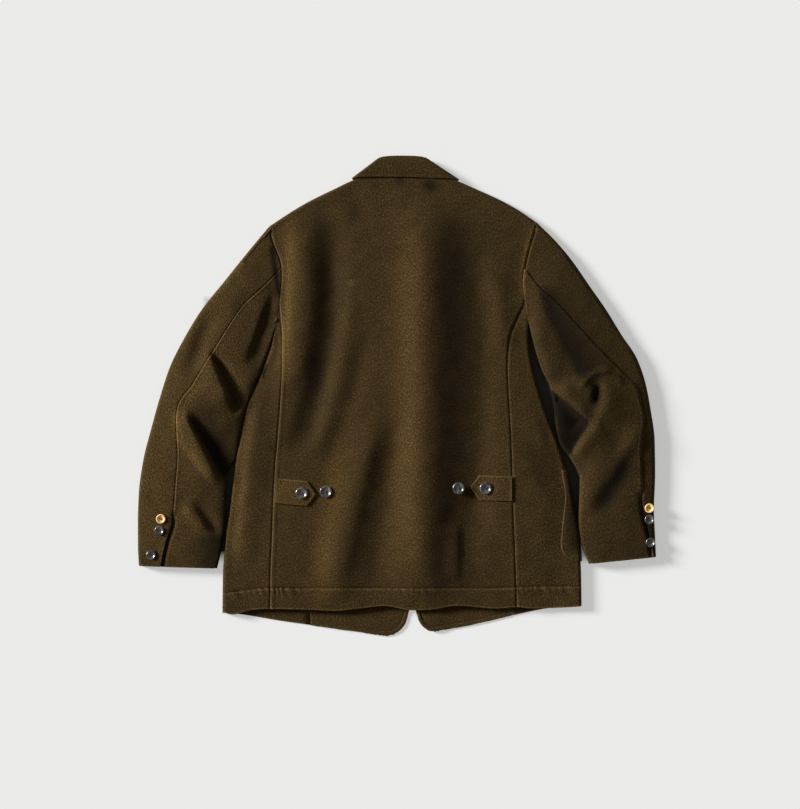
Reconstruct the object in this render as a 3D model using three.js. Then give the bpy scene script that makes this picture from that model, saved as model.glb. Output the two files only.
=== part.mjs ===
// A cardigan jacket of brushed cloth, laid flat on a surface with its back upwards.
// Sizes are in millimetres. +X runs to the viewer's right, +Y towards the collar and +Z up from the surface.
// Every panel is a cloth wall: a grid of points on its outer face, and the same points one cloth thickness inside.
import * as THREE from "three";

// Cloth and seams
const CLOTH = 2; // thickness of the wall of each panel
const SEAM_GAP = 0.3; // between two panels along their seam
const AIR = 0.6; // between cloth and the cloth that it lies on
const LAP = CLOTH + AIR; // how far one layer lifts the next
const EDGE_TURN = 6; // how far in from an outline the cloth turns over, seen from above
const QUARTER = (EDGE_TURN * Math.PI) / 2; // the same, measured along the turned cloth

// Heights of the upper face above the surface
const EDGE_HEIGHT = 12; // along the shoulders, sides and sleeves
const BODY_RISE = 6.5; // how much higher the middle of the back lies
const HEM_DROP = 2.5; // how much lower the back lies at its hem
const LEAST_TOP = 5.4; // an upper face over an empty lower one
const LEAST_BACK = 7.8; // the back over the two lapped fronts

// Closing and fastenings
const FRONT_LINE = 24.6; // x of the line of front buttons
const FRONT_LAP = 17; // from that line to each front edge
const BUTTON_COUNT = 4;
const FIRST_BUTTON_Y = 205;
const BUTTON_PITCH = 140;
const BIG_BUTTON = { radius: 10, thick: 3 };
const CUFF_BUTTON = { radius: 7.8, thick: 2.8 };
const BUTTON_SIDES = 12;
const BUTTON_SEAT = 0.5; // between a front button and the cloth over it

// Patch pockets, wider at the bottom than at the opening. Each row gives how far the pocket reaches round the side
// from its outermost line, positive onto the upper face, and x of its inner edge on the lower face.
const POCKET_CLOTH = 1.6;
const POCKET_LAP = 2.6; // how far a pocket's outer face lies off the cloth under it
const POCKET = { top: -97, bottom: -271, corner: 26 }; // top is the higher opening's
const LEFT_POCKET = [
  { y: -271, reach: -16, inner: -92 },
  { y: -97, reach: -17, inner: -103 },
];
const RIGHT_POCKET = [
  { y: -271, reach: 35, inner: 146 },
  { y: -245, reach: 34, inner: 143 },
  { y: -223, reach: 30.4, inner: 141 },
  { y: -195, reach: 23.4, inner: 138 },
  { y: -160, reach: 14, inner: 135 },
  { y: -122, reach: 11.4, inner: 131 },
];
const POCKET_END = { left: -90, right: 126 }; // how far in the cloth is lifted for them

// Waist tabs
const TAB_CLOTH = 1.8;
const TAB_AIR = 0.9;
const TAB = { length: 53, point: 15, width: 41, blunt: 0.08 };
const LEFT_TAB = { x: -199.6, y: -155, slope: -0.09 };
const RIGHT_TAB = { x: 188, y: -152, slope: 0.03 };

// The body at heights up the garment: its two outlines and the two seams of the back, as x
const BODY_LEVELS = [
  { y: -362, left: -287, leftSeam: -208.5, rightSeam: 197, right: 303.5 },
  { y: -294, left: -286, leftSeam: -207.5, rightSeam: 194.7, right: 302.5 },
  { y: -236, left: -281.5, leftSeam: -205, rightSeam: 192.4, right: 298.5 },
  { y: -179, left: -273.5, leftSeam: -203, rightSeam: 190.2, right: 290 },
  { y: -121, left: -266, leftSeam: -200, rightSeam: 188.6, right: 277 },
  { y: -72, left: -259, leftSeam: -196, rightSeam: 187, right: 262 },
  { y: -31, left: -251, leftSeam: -192.7, rightSeam: 185, right: 246 },
  { y: 10, left: -236, leftSeam: -190, rightSeam: 182.6, right: 233 },
  { y: 51, left: -218.5, leftSeam: -188, rightSeam: 181.2, right: 222 },
  { y: 92, left: -204.5, leftSeam: -188, rightSeam: 184, right: 216.5 },
];

// Front and side seams on the lower face, as x at heights up the garment
const LOWER_SEAMS = [
  { y: -380, left: -141.5, right: 186 },
  { y: -200, left: -150, right: 178 },
  { y: -50, left: -156, right: 173 },
  { y: 60, left: -164, right: 174 },
];

// The back's hem from left to right, wavy where its folds reach it
const BACK_HEM = [
  { x: -287, y: -354 },
  { x: -270, y: -358.5 },
  { x: -238, y: -351 },
  { x: -212, y: -349.3 },
  { x: -150, y: -350.3 },
  { x: -103, y: -352.3 },
  { x: -60, y: -348.5 },
  { x: -20, y: -344.4 },
  { x: 26, y: -351.6 },
  { x: 54, y: -350.5 },
  { x: 100, y: -344 },
  { x: 164, y: -348.5 },
  { x: 197, y: -346.2 },
  { x: 220, y: -348.5 },
  { x: 297, y: -345.5 },
  { x: 304, y: -341 },
];

// The hem of the fronts and of the lower half of each side panel, below the back's hem
const FRONT_HEM = [
  { x: -287, y: -356 },
  { x: -257, y: -359 },
  { x: -192, y: -369.5 },
  { x: -146, y: -376 },
  { x: -54, y: -389 },
  { x: -20, y: -393.4 },
  { x: 24, y: -393.4 },
  { x: 60, y: -387 },
  { x: 130, y: -374.6 },
  { x: 193, y: -360 },
  { x: 251, y: -348.5 },
  { x: 304, y: -343 },
];
// The lower corners of the fronts: rounding, x of the edge's foot, and how far the edge cuts away over its reach
const LEFT_CORNER = { radius: 24, foot: -18, slant: 34, reach: 170 };
const RIGHT_CORNER = { radius: 20, foot: 61, slant: 34, reach: 170 };

// The top outline from shoulder point to shoulder point, with the neck seam between the neck points
const NECK = { left: -70, right: 97 };
const TOP_LINE = [
  { x: -209.9, y: 278.8 },
  { x: -170.6, y: 304.5 },
  { x: -142.7, y: 320.6 },
  { x: -108.2, y: 337.4 },
  { x: -70, y: 354.6 },
  { x: -28, y: 365.4 },
  { x: 12, y: 368.4 },
  { x: 52, y: 365.6 },
  { x: 97, y: 353.4 },
  { x: 134.5, y: 337.8 },
  { x: 170.6, y: 321.4 },
  { x: 200, y: 305 },
  { x: 231.2, y: 283.7 },
];
const NECK_CELLS = 10; // parts that the back's neck seam is divided into
const SHOULDER_CELLS = 6; // and each shoulder seam
const FRONT_NECK_DROP = 92; // from the back of the neck to the centre front

// Soft folds of the body's upper face: where each starts and ends, how wide it is to the left and right of a viewer
// who sees it run down, how far its middle bows to that right, and its height, negative for a trough. fade is the
// share of its length that each end takes to die away, and start the share of its widths that it has at its first end
const BODY_FOLDS = [
  { x0: -164, y0: 312, x1: -182, y1: -20, left: 30, right: 26, bow: 18, height: 8 },
  { x0: -112, y0: 306, x1: -172, y1: -120, left: 24, right: 22, bow: 30, height: -6.5 },
  { x0: -70, y0: 190, x1: -146, y1: -120, left: 14, right: 16, bow: 12, height: 2.4 },
  { x0: -44, y0: 120, x1: -128, y1: -140, left: 16, right: 16, bow: 10, height: -2.4 },
  { x0: -20, y0: -6, x1: -106, y1: -372, left: 22, right: 22, bow: -12, height: 6, fade: 0.3 },
  { x0: 8, y0: 16, x1: -42, y1: -372, left: 22, right: 22, bow: -2, height: -4, fade: 0.3 },
  { x0: 46, y0: 340, x1: 34, y1: -372, left: 36, right: 40, bow: 4, height: 8 },
  { x0: 114, y0: 320, x1: 104, y1: -310, left: 40, right: 30, bow: 28, height: -7.5 },
  { x0: 150, y0: 230, x1: 178, y1: 60, left: 20, right: 20, bow: 4, height: 3.4 },
  { x0: 98, y0: -205, x1: 96, y1: -310, left: 16, right: 8, bow: 0, height: 3.4 },
  { x0: 232, y0: 20, x1: 250, y1: -260, left: 24, right: 26, bow: -6, height: 2.4 },
  { x0: -226, y0: 20, x1: -254, y1: -300, left: 18, right: 26, bow: -4, height: 5 },
];

// Each sleeve from the armhole to the cuff: outer and inner outline points, where the hind seam lies as a share of
// the way across, how much higher the middle lies than the edges, and how far along the sleeve the row is
const LEFT_SLEEVE = {
  side: -1,
  rows: [
    { at: 0, outX: -209.9, outY: 278.8, inX: -198.6, inY: 121.4, seam: 0.43, rise: 3 },
    { at: 0.08, outX: -242.7, outY: 239.4, inX: -201, inY: 96, seam: 0.42, rise: 5 },
    { at: 0.18, outX: -282.1, outY: 190.2, inX: -212, inY: 60, seam: 0.37, rise: 7 },
    { at: 0.28, outX: -321.4, outY: 141, inX: -229, inY: 20, seam: 0.378, rise: 8 },
    { at: 0.37, outX: -349.3, outY: 95.1, inX: -242, inY: -13, seam: 0.36, rise: 9 },
    { at: 0.45, outX: -372.3, outY: 49.2, inX: -251, inY: -40, seam: 0.324, rise: 10 },
    { at: 0.53, outX: -388.7, outY: 0, inX: -256, inY: -68, seam: 0.233, rise: 9 },
    { at: 0.61, outX: -403.4, outY: -52.5, inX: -262, inY: -97, seam: 0.307, rise: 8 },
    { at: 0.69, outX: -416.6, outY: -105, inX: -279.5, inY: -133, seam: 0.413, rise: 8 },
    { at: 0.77, outX: -423.9, outY: -157.4, inX: -280.4, inY: -171, seam: 0.419, rise: 7 },
    { at: 0.85, outX: -425.6, outY: -203.4, inX: -282.5, inY: -210, seam: 0.396, rise: 6 },
    { at: 0.93, outX: -425.6, outY: -244.4, inX: -287.5, inY: -249, seam: 0.324, rise: 4 },
    { at: 1, outX: -424, outY: -279, inX: -295.5, inY: -283, seam: 0.28, rise: 2 },
  ],
  // How far the armhole bows towards the neck between its two ends, on the upper and on the lower face
  armhole: [
    { at: 0, upper: 0, lower: 0 },
    { at: 0.1, upper: 2.8, lower: 6 },
    { at: 0.2, upper: 6.2, lower: 13 },
    { at: 0.32, upper: 12.6, lower: 20 },
    { at: 0.42, upper: 15.6, lower: 24 },
    { at: 0.54, upper: 14.6, lower: 25 },
    { at: 0.68, upper: 11, lower: 22 },
    { at: 0.84, upper: 6, lower: 13 },
    { at: 1, upper: 0, lower: 0 },
  ],
  folds: [
    { x0: -298, y0: 158, x1: -342, y1: 14, left: 14, right: 16, bow: 0, height: -4.5, fade: 0.4 },
    { x0: -198, y0: 180, x1: -244, y1: 40, left: 9, right: 22, bow: 0, height: -6, fade: 0.3, start: 0.5 },
    { x0: -318, y0: 80, x1: -272, y1: -30, left: 22, right: 7, bow: 4, height: 7, fade: 0.3 },
    { x0: -308, y0: 76, x1: -260, y1: -32, left: 5, right: 20, bow: 5, height: -8, fade: 0.2, start: 0.4 },
    { x0: -352, y0: -14, x1: -286, y1: -146, left: 22, right: 9, bow: -2, height: 8, fade: 0.24 },
    { x0: -348, y0: -22, x1: -276, y1: -144, left: 7, right: 44, bow: 0, height: -9, fade: 0.26, start: 0.3 },
    { x0: -336, y0: -168, x1: -286, y1: -240, left: 8, right: 14, bow: 2, height: -4.5, fade: 0.4, start: 0.6 },
    { x0: -353, y0: -176, x1: -312, y1: -226, left: 9, right: 9, bow: 0, height: 2.6, fade: 0.3 },
  ],
};
const RIGHT_SLEEVE = {
  side: 1,
  rows: [
    { at: 0, outX: 231.2, outY: 283.7, inX: 215, inY: 127, seam: 0.49, rise: 3 },
    { at: 0.07, outX: 260.8, outY: 254.2, inX: 221.5, inY: 105, seam: 0.511, rise: 5 },
    { at: 0.14, outX: 287, outY: 223, inX: 229.5, inY: 75, seam: 0.458, rise: 6 },
    { at: 0.22, outX: 316.5, outY: 180.4, inX: 240.5, inY: 42, seam: 0.396, rise: 8 },
    { at: 0.3, outX: 342.8, outY: 142.7, inX: 254, inY: 14, seam: 0.351, rise: 9 },
    { at: 0.39, outX: 369, outY: 100, inX: 259, inY: -14, seam: 0.277, rise: 10 },
    { at: 0.47, outX: 393.6, outY: 62.3, inX: 262.5, inY: -46, seam: 0.204, rise: 10 },
    { at: 0.55, outX: 408.4, outY: 19.7, inX: 269, inY: -77, seam: 0.109, rise: 10 },
    { at: 0.63, outX: 416.6, outY: -23, inX: 288, inY: -104, seam: 0.103, rise: 9 },
    { at: 0.71, outX: 423.1, outY: -72.2, inX: 302, inY: -136, seam: 0.205, rise: 8 },
    { at: 0.8, outX: 424, outY: -129.6, inX: 301, inY: -171, seam: 0.188, rise: 7 },
    { at: 0.88, outX: 422, outY: -187, inX: 299.5, inY: -204, seam: 0.143, rise: 6 },
    { at: 0.94, outX: 423.8, outY: -228, inX: 303.5, inY: -240, seam: 0.077, rise: 4 },
    { at: 1, outX: 425.5, outY: -264, inX: 317, inY: -275, seam: 0.04, rise: 2 },
  ],
  armhole: [
    { at: 0, upper: 0, lower: 0 },
    { at: 0.1, upper: 4, lower: 7 },
    { at: 0.2, upper: 7.4, lower: 14 },
    { at: 0.32, upper: 10.6, lower: 20 },
    { at: 0.45, upper: 13, lower: 24 },
    { at: 0.6, upper: 14.4, lower: 25 },
    { at: 0.72, upper: 11, lower: 21 },
    { at: 0.85, upper: 5.4, lower: 12 },
    { at: 1, upper: 0, lower: 0 },
  ],
  folds: [
    { x0: 214, y0: 140, x1: 262, y1: 20, left: 10, right: 16, bow: 4, height: 4.5, fade: 0.2 },
    { x0: 232, y0: 176, x1: 304, y1: 30, left: 14, right: 28, bow: 0, height: -4, fade: 0.3, start: 0.4 },
    { x0: 256, y0: 4, x1: 310, y1: -46, left: 26, right: 6, bow: 0, height: -7, fade: 0.2, start: 0.5 },
    { x0: 312, y0: -36, x1: 284, y1: -96, left: 24, right: 6, bow: 0, height: -7, fade: 0.2 },
    { x0: 262, y0: 24, x1: 318, y1: -40, left: 12, right: 10, bow: 0, height: 4.5, fade: 0.3 },
    { x0: 294, y0: 8, x1: 360, y1: 46, left: 7, right: 14, bow: 12, height: 4.5, fade: 0.3 },
    { x0: 330, y0: 28, x1: 326, y1: -24, left: 8, right: 8, bow: 0, height: -7, fade: 0.4 },
    { x0: 338, y0: 32, x1: 322, y1: -50, left: 8, right: 26, bow: 12, height: 5, fade: 0.3 },
    { x0: 334, y0: -38, x1: 288, y1: -98, left: 6, right: 22, bow: 4, height: 5, fade: 0.2 },
    { x0: 404, y0: -40, x1: 340, y1: -160, left: 12, right: 22, bow: 0, height: 4.6, fade: 0.3 },
    { x0: 398, y0: -70, x1: 316, y1: -214, left: 16, right: 16, bow: 0, height: -6, fade: 0.36 },
  ],
};

// The collar's free edge and fold, seen from above, from the left side of the neck to the right
const COLLAR_UPPER = [
  { at: 0, edgeX: -74.5, edgeY: 358, foldX: -30, foldY: 391.5 },
  { at: 0.25, edgeX: -34, edgeY: 359.4, foldX: -11, foldY: 394 },
  { at: 0.5, edgeX: 9, edgeY: 359.2, foldX: 7, foldY: 394.4 },
  { at: 0.75, edgeX: 56, edgeY: 357.5, foldX: 28, foldY: 394 },
  { at: 1, edgeX: 102, edgeY: 356, foldX: 48, foldY: 391.5 },
];
// On the lower face, at the front's own columns: how far the stand reaches into the neck from its seam, how far
// the fall reaches back over the seam, and how far its edge leans to the side
const COLLAR_LOWER = [
  { stand: 28, over: 15, lean: 0 },
  { stand: 27, over: 22, lean: 2 },
  { stand: 26, over: 30, lean: 8 },
  { stand: 25, over: 38, lean: 20 },
];
const COLLAR_AIR = 0.6; // between the fall and the stand
const COLLAR_TOP = EDGE_HEIGHT + CLOTH + COLLAR_AIR; // height of the fall's upper face

// Round buttons that lie on an upper face: centre and size
const LAID_BUTTONS = [
  { name: "tab_button_left", on: "tab_left", x: -155.8, y: -159.1, size: BIG_BUTTON },
  { name: "tab_button_right", on: "tab_right", x: 145.3, y: -151, size: BIG_BUTTON },
  { name: "spare_button_left", on: "back", x: -116.4, y: -156.8, size: BIG_BUTTON },
  { name: "spare_button_right", on: "back", x: 101, y: -151, size: BIG_BUTTON },
  { name: "cuff_button_left_1", on: "upper_sleeve_left", x: -386.4, y: -201.1, size: CUFF_BUTTON, pale: true },
  { name: "cuff_button_left_2", on: "upper_sleeve_left", x: -389, y: -220.2, size: CUFF_BUTTON },
  { name: "cuff_button_left_3", on: "upper_sleeve_left", x: -402.8, y: -260.3, size: CUFF_BUTTON },
  { name: "cuff_button_right_1", on: "upper_sleeve_right", x: 413.4, y: -183.7, size: CUFF_BUTTON, pale: true },
  { name: "cuff_button_right_2", on: "upper_sleeve_right", x: 413.4, y: -202.4, size: CUFF_BUTTON },
  { name: "cuff_button_right_3", on: "upper_sleeve_right", x: 415.4, y: -240, size: CUFF_BUTTON },
];

// Colours of the materials
const CLOTH_FINISH = new THREE.MeshStandardMaterial({ color: 0x4a3a20, roughness: 0.95, metalness: 0 });
const HORN_FINISH = new THREE.MeshStandardMaterial({ color: 0x24211f, roughness: 0.25, metalness: 0 });
const NUT_FINISH = new THREE.MeshStandardMaterial({ color: 0xd9a050, roughness: 0.35, metalness: 0 });

// Small helpers on numbers and points

const clamp = (value, low, high) => Math.min(high, Math.max(low, value));
const lerp = (from, to, share) => from + (to - from) * share;
const smooth = (share) => {
  const s = clamp(share, 0, 1);
  return s * s * (3 - 2 * s);
};
const plan = (x, y) => new THREE.Vector2(x, y);

// A smooth function of one column against another that passes through every row and never overshoots
function track(rows, from, to) {
  const xs = rows.map((row) => row[from]);
  const ys = rows.map((row) => row[to]);
  const last = xs.length - 1;
  const rate = (i) => (ys[i + 1] - ys[i]) / (xs[i + 1] - xs[i]);
  const slopes = xs.map((_, i) => {
    if (i === 0) return rate(0);
    if (i === last) return rate(last - 1);
    const before = rate(i - 1);
    const after = rate(i);
    return before * after <= 0 ? 0 : (2 * before * after) / (before + after);
  });
  return (x) => {
    if (x <= xs[0]) return ys[0];
    if (x >= xs[last]) return ys[last];
    let i = 0;
    while (x > xs[i + 1]) i += 1;
    const step = xs[i + 1] - xs[i];
    const s = (x - xs[i]) / step;
    const startPart = (1 + 2 * s) * (1 - s) ** 2 * ys[i] + s * (1 - s) ** 2 * step * slopes[i];
    const endPart = s * s * (3 - 2 * s) * ys[i + 1] + s * s * (s - 1) * step * slopes[i + 1];
    return startPart + endPart;
  };
}

// Height that a list of folds adds at a point
function foldsAt(folds, x, y) {
  const FADE = 0.22;
  const START = 1;
  let sum = 0;
  for (const fold of folds) {
    const dx = fold.x1 - fold.x0;
    const dy = fold.y1 - fold.y0;
    const length = Math.hypot(dx, dy);
    const along = ((x - fold.x0) * dx + (y - fold.y0) * dy) / (length * length);
    if (along <= 0 || along >= 1) continue;
    const straight = ((y - fold.y0) * dx - (x - fold.x0) * dy) / length;
    const across = straight - fold.bow * 4 * along * (1 - along);
    const width = (across > 0 ? fold.right : fold.left) * lerp(fold.start ?? START, 1, along);
    const fade = fold.fade ?? FADE;
    const ends = smooth(along / fade) * smooth((1 - along) / fade);
    sum += fold.height * Math.exp(-((across / width) ** 2)) * ends;
  }
  return sum;
}

// Walls

// Whether a grid's faces, as it is wound, point the way of its normals
function windsOutwards(grid) {
  const r = Math.floor(grid.length / 3);
  const c = Math.floor(grid[0].length / 3);
  const across = grid[r][c + 1].point.clone().sub(grid[r][c].point);
  const along = grid[r + 1][c].point.clone().sub(grid[r][c].point);
  return across.cross(along).dot(grid[r][c].normal) > 0;
}

// A closed wall from a grid of { point, normal }: rows of columns on the outer face, offset inwards by the thickness
function wall(given, thickness) {
  const grid = windsOutwards(given) ? given : given.map((row) => [...row].reverse());
  const rows = grid.length;
  const columns = grid[0].length;
  const positions = [];
  for (const depth of [0, thickness]) {
    for (const row of grid) {
      for (const { point, normal } of row) {
        const p = point.clone().addScaledVector(normal, -depth);
        positions.push(p.x, p.y, p.z);
      }
    }
  }
  const outer = (r, c) => r * columns + c;
  const inner = (r, c) => (rows + r) * columns + c;
  const indices = [];
  const quad = (a, b, c, d) => indices.push(a, b, c, a, c, d);
  for (let r = 0; r < rows - 1; r += 1) {
    for (let c = 0; c < columns - 1; c += 1) {
      quad(outer(r, c), outer(r, c + 1), outer(r + 1, c + 1), outer(r + 1, c));
      quad(inner(r, c), inner(r + 1, c), inner(r + 1, c + 1), inner(r, c + 1));
    }
  }
  for (let c = 0; c < columns - 1; c += 1) {
    quad(inner(0, c), inner(0, c + 1), outer(0, c + 1), outer(0, c));
    quad(outer(rows - 1, c), outer(rows - 1, c + 1), inner(rows - 1, c + 1), inner(rows - 1, c));
  }
  for (let r = 0; r < rows - 1; r += 1) {
    quad(outer(r, 0), outer(r + 1, 0), inner(r + 1, 0), inner(r, 0));
    quad(inner(r, columns - 1), inner(r + 1, columns - 1), outer(r + 1, columns - 1), outer(r, columns - 1));
  }
  const geometry = new THREE.BufferGeometry();
  geometry.setAttribute("position", new THREE.Float32BufferAttribute(positions, 3));
  geometry.setIndex(indices);
  geometry.computeVertexNormals();
  return geometry;
}

// Draws the rim of a grid in by half a seam gap, so that two panels that share a seam stay apart
function seamed(grid, share = 0.5) {
  const rows = grid.length;
  const columns = grid[0].length;
  const drawn = grid.map((row) => row.map(({ point, normal }) => ({ point: point.clone(), normal })));
  const pull = (target, r, c, r2, c2) => {
    const away = grid[r2][c2].point.clone().sub(grid[r][c].point).normalize();
    target.point.addScaledVector(away, SEAM_GAP * share);
  };
  for (let r = 0; r < rows; r += 1) {
    pull(drawn[r][0], r, 0, r, 1);
    pull(drawn[r][columns - 1], r, columns - 1, r, columns - 2);
  }
  for (let c = 0; c < columns; c += 1) {
    pull(drawn[0][c], 0, c, 1, c);
    pull(drawn[rows - 1][c], rows - 1, c, rows - 2, c);
  }
  return drawn;
}

// How far along a line of points each one lies, as a share of its length
function sharesAlong(points) {
  const lengths = [0];
  for (let j = 1; j < points.length; j += 1) lengths.push(lengths[j - 1] + points[j].distanceTo(points[j - 1]));
  return lengths.map((length) => length / lengths[points.length - 1]);
}

// A grid of plan points inside four edges that meet at their ends
function coons(left, right, bottom, top) {
  const shares = sharesAlong(left);
  const last = bottom.length - 1;
  return left.map((_, j) => {
    const v = shares[j];
    return bottom.map((_, i) => {
      const u = i / last;
      const blend = (axis) => {
        const across = lerp(left[j][axis], right[j][axis], u);
        const along = lerp(bottom[i][axis], top[i][axis], v);
        const corners = lerp(
          lerp(bottom[0][axis], bottom[last][axis], u),
          lerp(top[0][axis], top[last][axis], u),
          v,
        );
        return across + along - corners;
      };
      return plan(blend("x"), blend("y"));
    });
  });
}

// The jacket's outlines and heights

const topLine = track(TOP_LINE, "x", "y");
const backHem = track(BACK_HEM, "x", "y");
const frontHem = track(FRONT_HEM, "x", "y");

// How far the lowest cloth is lifted by what lies under it: the collar's fronts, the pockets and the front buttons
function lift(x, y) {
  const NECK_CENTRE = plan(10, 338);
  const COLLAR_REACH = 122;
  const POCKET_MARGIN = 8;
  const BUTTON_MARGIN = 10;
  const BUTTON_RAMP = 44;
  const RAMP = 34;
  const underCollar = smooth(1 - (Math.hypot(x - NECK_CENTRE.x, y - NECK_CENTRE.y) - COLLAR_REACH) / RAMP);
  const band = (value, low, high) => smooth(1 - Math.max(low - value, value - high) / RAMP);
  const tall = band(y, POCKET.bottom - POCKET_MARGIN, POCKET.top + POCKET_MARGIN);
  const rightPocket = tall * band(x, POCKET_END.right - POCKET_MARGIN, 400);
  const leftPocket = tall * band(x, -400, POCKET_END.left + POCKET_MARGIN);
  let overButtons = 0;
  for (let n = 0; n < BUTTON_COUNT; n += 1) {
    const away = Math.hypot(x - FRONT_LINE, y - (FIRST_BUTTON_Y - n * BUTTON_PITCH));
    overButtons += smooth(1 - (away - BIG_BUTTON.radius - BUTTON_MARGIN) / BUTTON_RAMP);
  }
  const pockets = Math.max(rightPocket, leftPocket) * POCKET_LAP;
  return Math.max(underCollar * LAP, overButtons * (BIG_BUTTON.thick + AIR)) + pockets;
}

// The right front is lifted again where the left one lies under it
function rightLift(x, y) {
  const UNDERLAP_MARGIN = 14;
  const UNDERLAP_AIR = 1;
  const RAMP = 40;
  const past = x - FRONT_LINE - FRONT_LAP - UNDERLAP_MARGIN;
  return lift(x, y) + (CLOTH + UNDERLAP_AIR) * smooth(1 - past / RAMP);
}

// One point of a sleeve's ring: share across and turn of the edge, on the upper (1) or lower (-1) face
function ringStations(sleeve) {
  const inner = (share) => (seam) => lerp(seam, 1, share);
  const outer = (share) => (seam) => lerp(0, seam, share);
  const lower = (share) => () => share;
  return [
    { edge: "outer", turn: 0 },
    { edge: "outer", turn: 45 },
    { edge: "outer", turn: 90 },
    { face: 1, across: outer(0.36) },
    { face: 1, across: outer(0.68) },
    { face: 1, across: outer(1), name: "hind" },
    { face: 1, across: inner(0.2) },
    { face: 1, across: inner(0.42) },
    { face: 1, across: inner(0.64), name: "back" },
    { face: 1, across: inner(0.83) },
    { edge: "inner", turn: 90 },
    { edge: "inner", turn: 45 },
    { edge: "inner", turn: 0 },
    { edge: "inner", turn: -45 },
    { edge: "inner", turn: -90 },
    { face: -1, across: lower(0.9) },
    { face: -1, across: lower(0.78), name: "front" },
    { face: -1, across: lower(0.68), name: "inseam" },
    { face: -1, across: lower(0.5) },
    { face: -1, across: lower(0.3) },
    { face: -1, across: lower(0.14) },
    { edge: "outer", turn: -90 },
    { edge: "outer", turn: -45 },
    { edge: "outer", turn: 0 },
  ].map((station) => ({ ...station, sleeve }));
}
const indexOf = (stations, name) => stations.findIndex((station) => station.name === name);

// The columns of the body's table, carried up to the armholes
const underarm = (sleeve) => ({ x: sleeve.rows[0].inX, y: sleeve.rows[0].inY });
const leftBase = underarm(LEFT_SLEEVE);
const rightBase = underarm(RIGHT_SLEEVE);
const ARMHOLE_SLACK = 10; // the heights of the body are worked out as if it reached this far past the armholes
const leftEdge = track(
  [
    ...BODY_LEVELS,
    { y: leftBase.y, left: leftBase.x },
    { y: 200, left: -189 - ARMHOLE_SLACK },
    { y: 279, left: -210 - ARMHOLE_SLACK },
  ],
  "y",
  "left",
);
const rightEdge = track(
  [
    ...BODY_LEVELS,
    { y: rightBase.y, right: rightBase.x },
    { y: 200, right: 208 + ARMHOLE_SLACK },
    { y: 284, right: 231 + ARMHOLE_SLACK },
  ],
  "y",
  "right",
);

// Gives a sleeve's functions of how far along it a section is
function sleeveForm(sleeve) {
  const column = (name) => track(sleeve.rows, "at", name);
  const [outX, outY, ownX, inY] = ["outX", "outY", "inX", "inY"].map(column);
  const BESIDE = 1.6;
  const CLEARED = 0.04;
  const body = sleeve.side < 0 ? leftEdge : rightEdge;
  // The inner outline keeps clear of the body's
  const inX = (at) => {
    const least = sleeve.side * body(inY(at)) + BESIDE * smooth(at / CLEARED);
    return sleeve.side * Math.max(sleeve.side * ownX(at), least);
  };
  const seam = column("seam");
  const rise = column("rise");
  const upperBow = track(sleeve.armhole, "at", "upper");
  const lowerBow = track(sleeve.armhole, "at", "lower");
  const BOW_FADE = 0.2;
  const JOIN = 0.14;
  const STEP = 0.01;
  const SHOULDER_FADE = 0.08;
  const shoulder = plan(sleeve.side * 0.65, 0.76);
  // Direction away from the sleeve at its outer (1) or inner (-1) outline, seen from above
  const outlineNormal = (at, outward) => {
    const [x, y] = outward > 0 ? [outX, outY] : [inX, inY];
    const from = Math.max(0, at - STEP);
    const to = Math.min(1, at + STEP);
    const run = plan(x(to) - x(from), y(to) - y(from)).normalize();
    const own = plan(-run.y, run.x).multiplyScalar(sleeve.side * outward);
    if (outward < 0) return own;
    return shoulder.clone().lerp(own, smooth(at / SHOULDER_FADE)).normalize();
  };
  return (at, station) => {
    const out = plan(outX(at), outY(at));
    const inn = plan(inX(at), inY(at));
    const width = out.distanceTo(inn);
    const chord = out.clone().sub(inn).divideScalar(width);
    const neckward = plan(chord.y, -chord.x).multiplyScalar(-sleeve.side);
    const place = (across, face) => {
      const fade = (1 - smooth(at / BOW_FADE)) * (face > 0 ? upperBow(across) : lowerBow(across));
      return out.clone().addScaledVector(chord, -across * width).addScaledVector(neckward, fade);
    };
    const topAt = (across) => {
      const p = place(across, 1);
      const crown = rise(at) * Math.sqrt(Math.max(0, 4 * across * (1 - across)));
      const own = Math.max(EDGE_HEIGHT + crown + foldsAt(sleeve.folds, p.x, p.y), LEAST_TOP);
      return lerp(bodyTop(p.x, p.y), own, smooth(at / JOIN));
    };
    const up = new THREE.Vector3(0, 0, 1);
    if (station.edge) {
      const outward = station.edge === "outer" ? 1 : -1;
      const start = station.edge === "outer" ? EDGE_TURN / width : 1 - EDGE_TURN / width;
      const half = topAt(start) / 2;
      const angle = (station.turn * Math.PI) / 180;
      const away = outlineNormal(at, outward);
      const inset = EDGE_TURN * (1 - Math.cos(angle));
      const p = (outward > 0 ? out : inn).clone();
      const inwards = away.clone().negate();
      if (outward < 0) inwards.lerp(chord, 1 - smooth(at / SHOULDER_FADE)).normalize();
      p.addScaledVector(inwards, inset);
      const normal = new THREE.Vector3(away.x, away.y, 0).multiplyScalar(Math.cos(angle));
      normal.addScaledVector(up, Math.sin(angle));
      return { point: new THREE.Vector3(p.x, p.y, half * (1 + Math.sin(angle))), normal };
    }
    const across = station.across(seam(at));
    const p = place(across, station.face);
    const z = station.face > 0 ? topAt(across) : 0;
    return { point: new THREE.Vector3(p.x, p.y, z), normal: up.multiplyScalar(station.face) };
  };
}

const sleeves = [LEFT_SLEEVE, RIGHT_SLEEVE].map((sleeve) => {
  const stations = ringStations(sleeve);
  return { ...sleeve, stations, form: sleeveForm(sleeve) };
});
const [leftSleeve, rightSleeve] = sleeves;

// A point of the armhole on the body's side: the sleeve's own point, turned to face sideways under the arm
function armholeAt(sleeve, index) {
  const station = sleeve.stations[index];
  const { point, normal } = sleeve.form(0, station);
  if (station.edge !== "inner") return { point, normal };
  const angle = (station.turn * Math.PI) / 180;
  return { point, normal: new THREE.Vector3(sleeve.side * Math.cos(angle), 0, Math.sin(angle)) };
}

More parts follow.
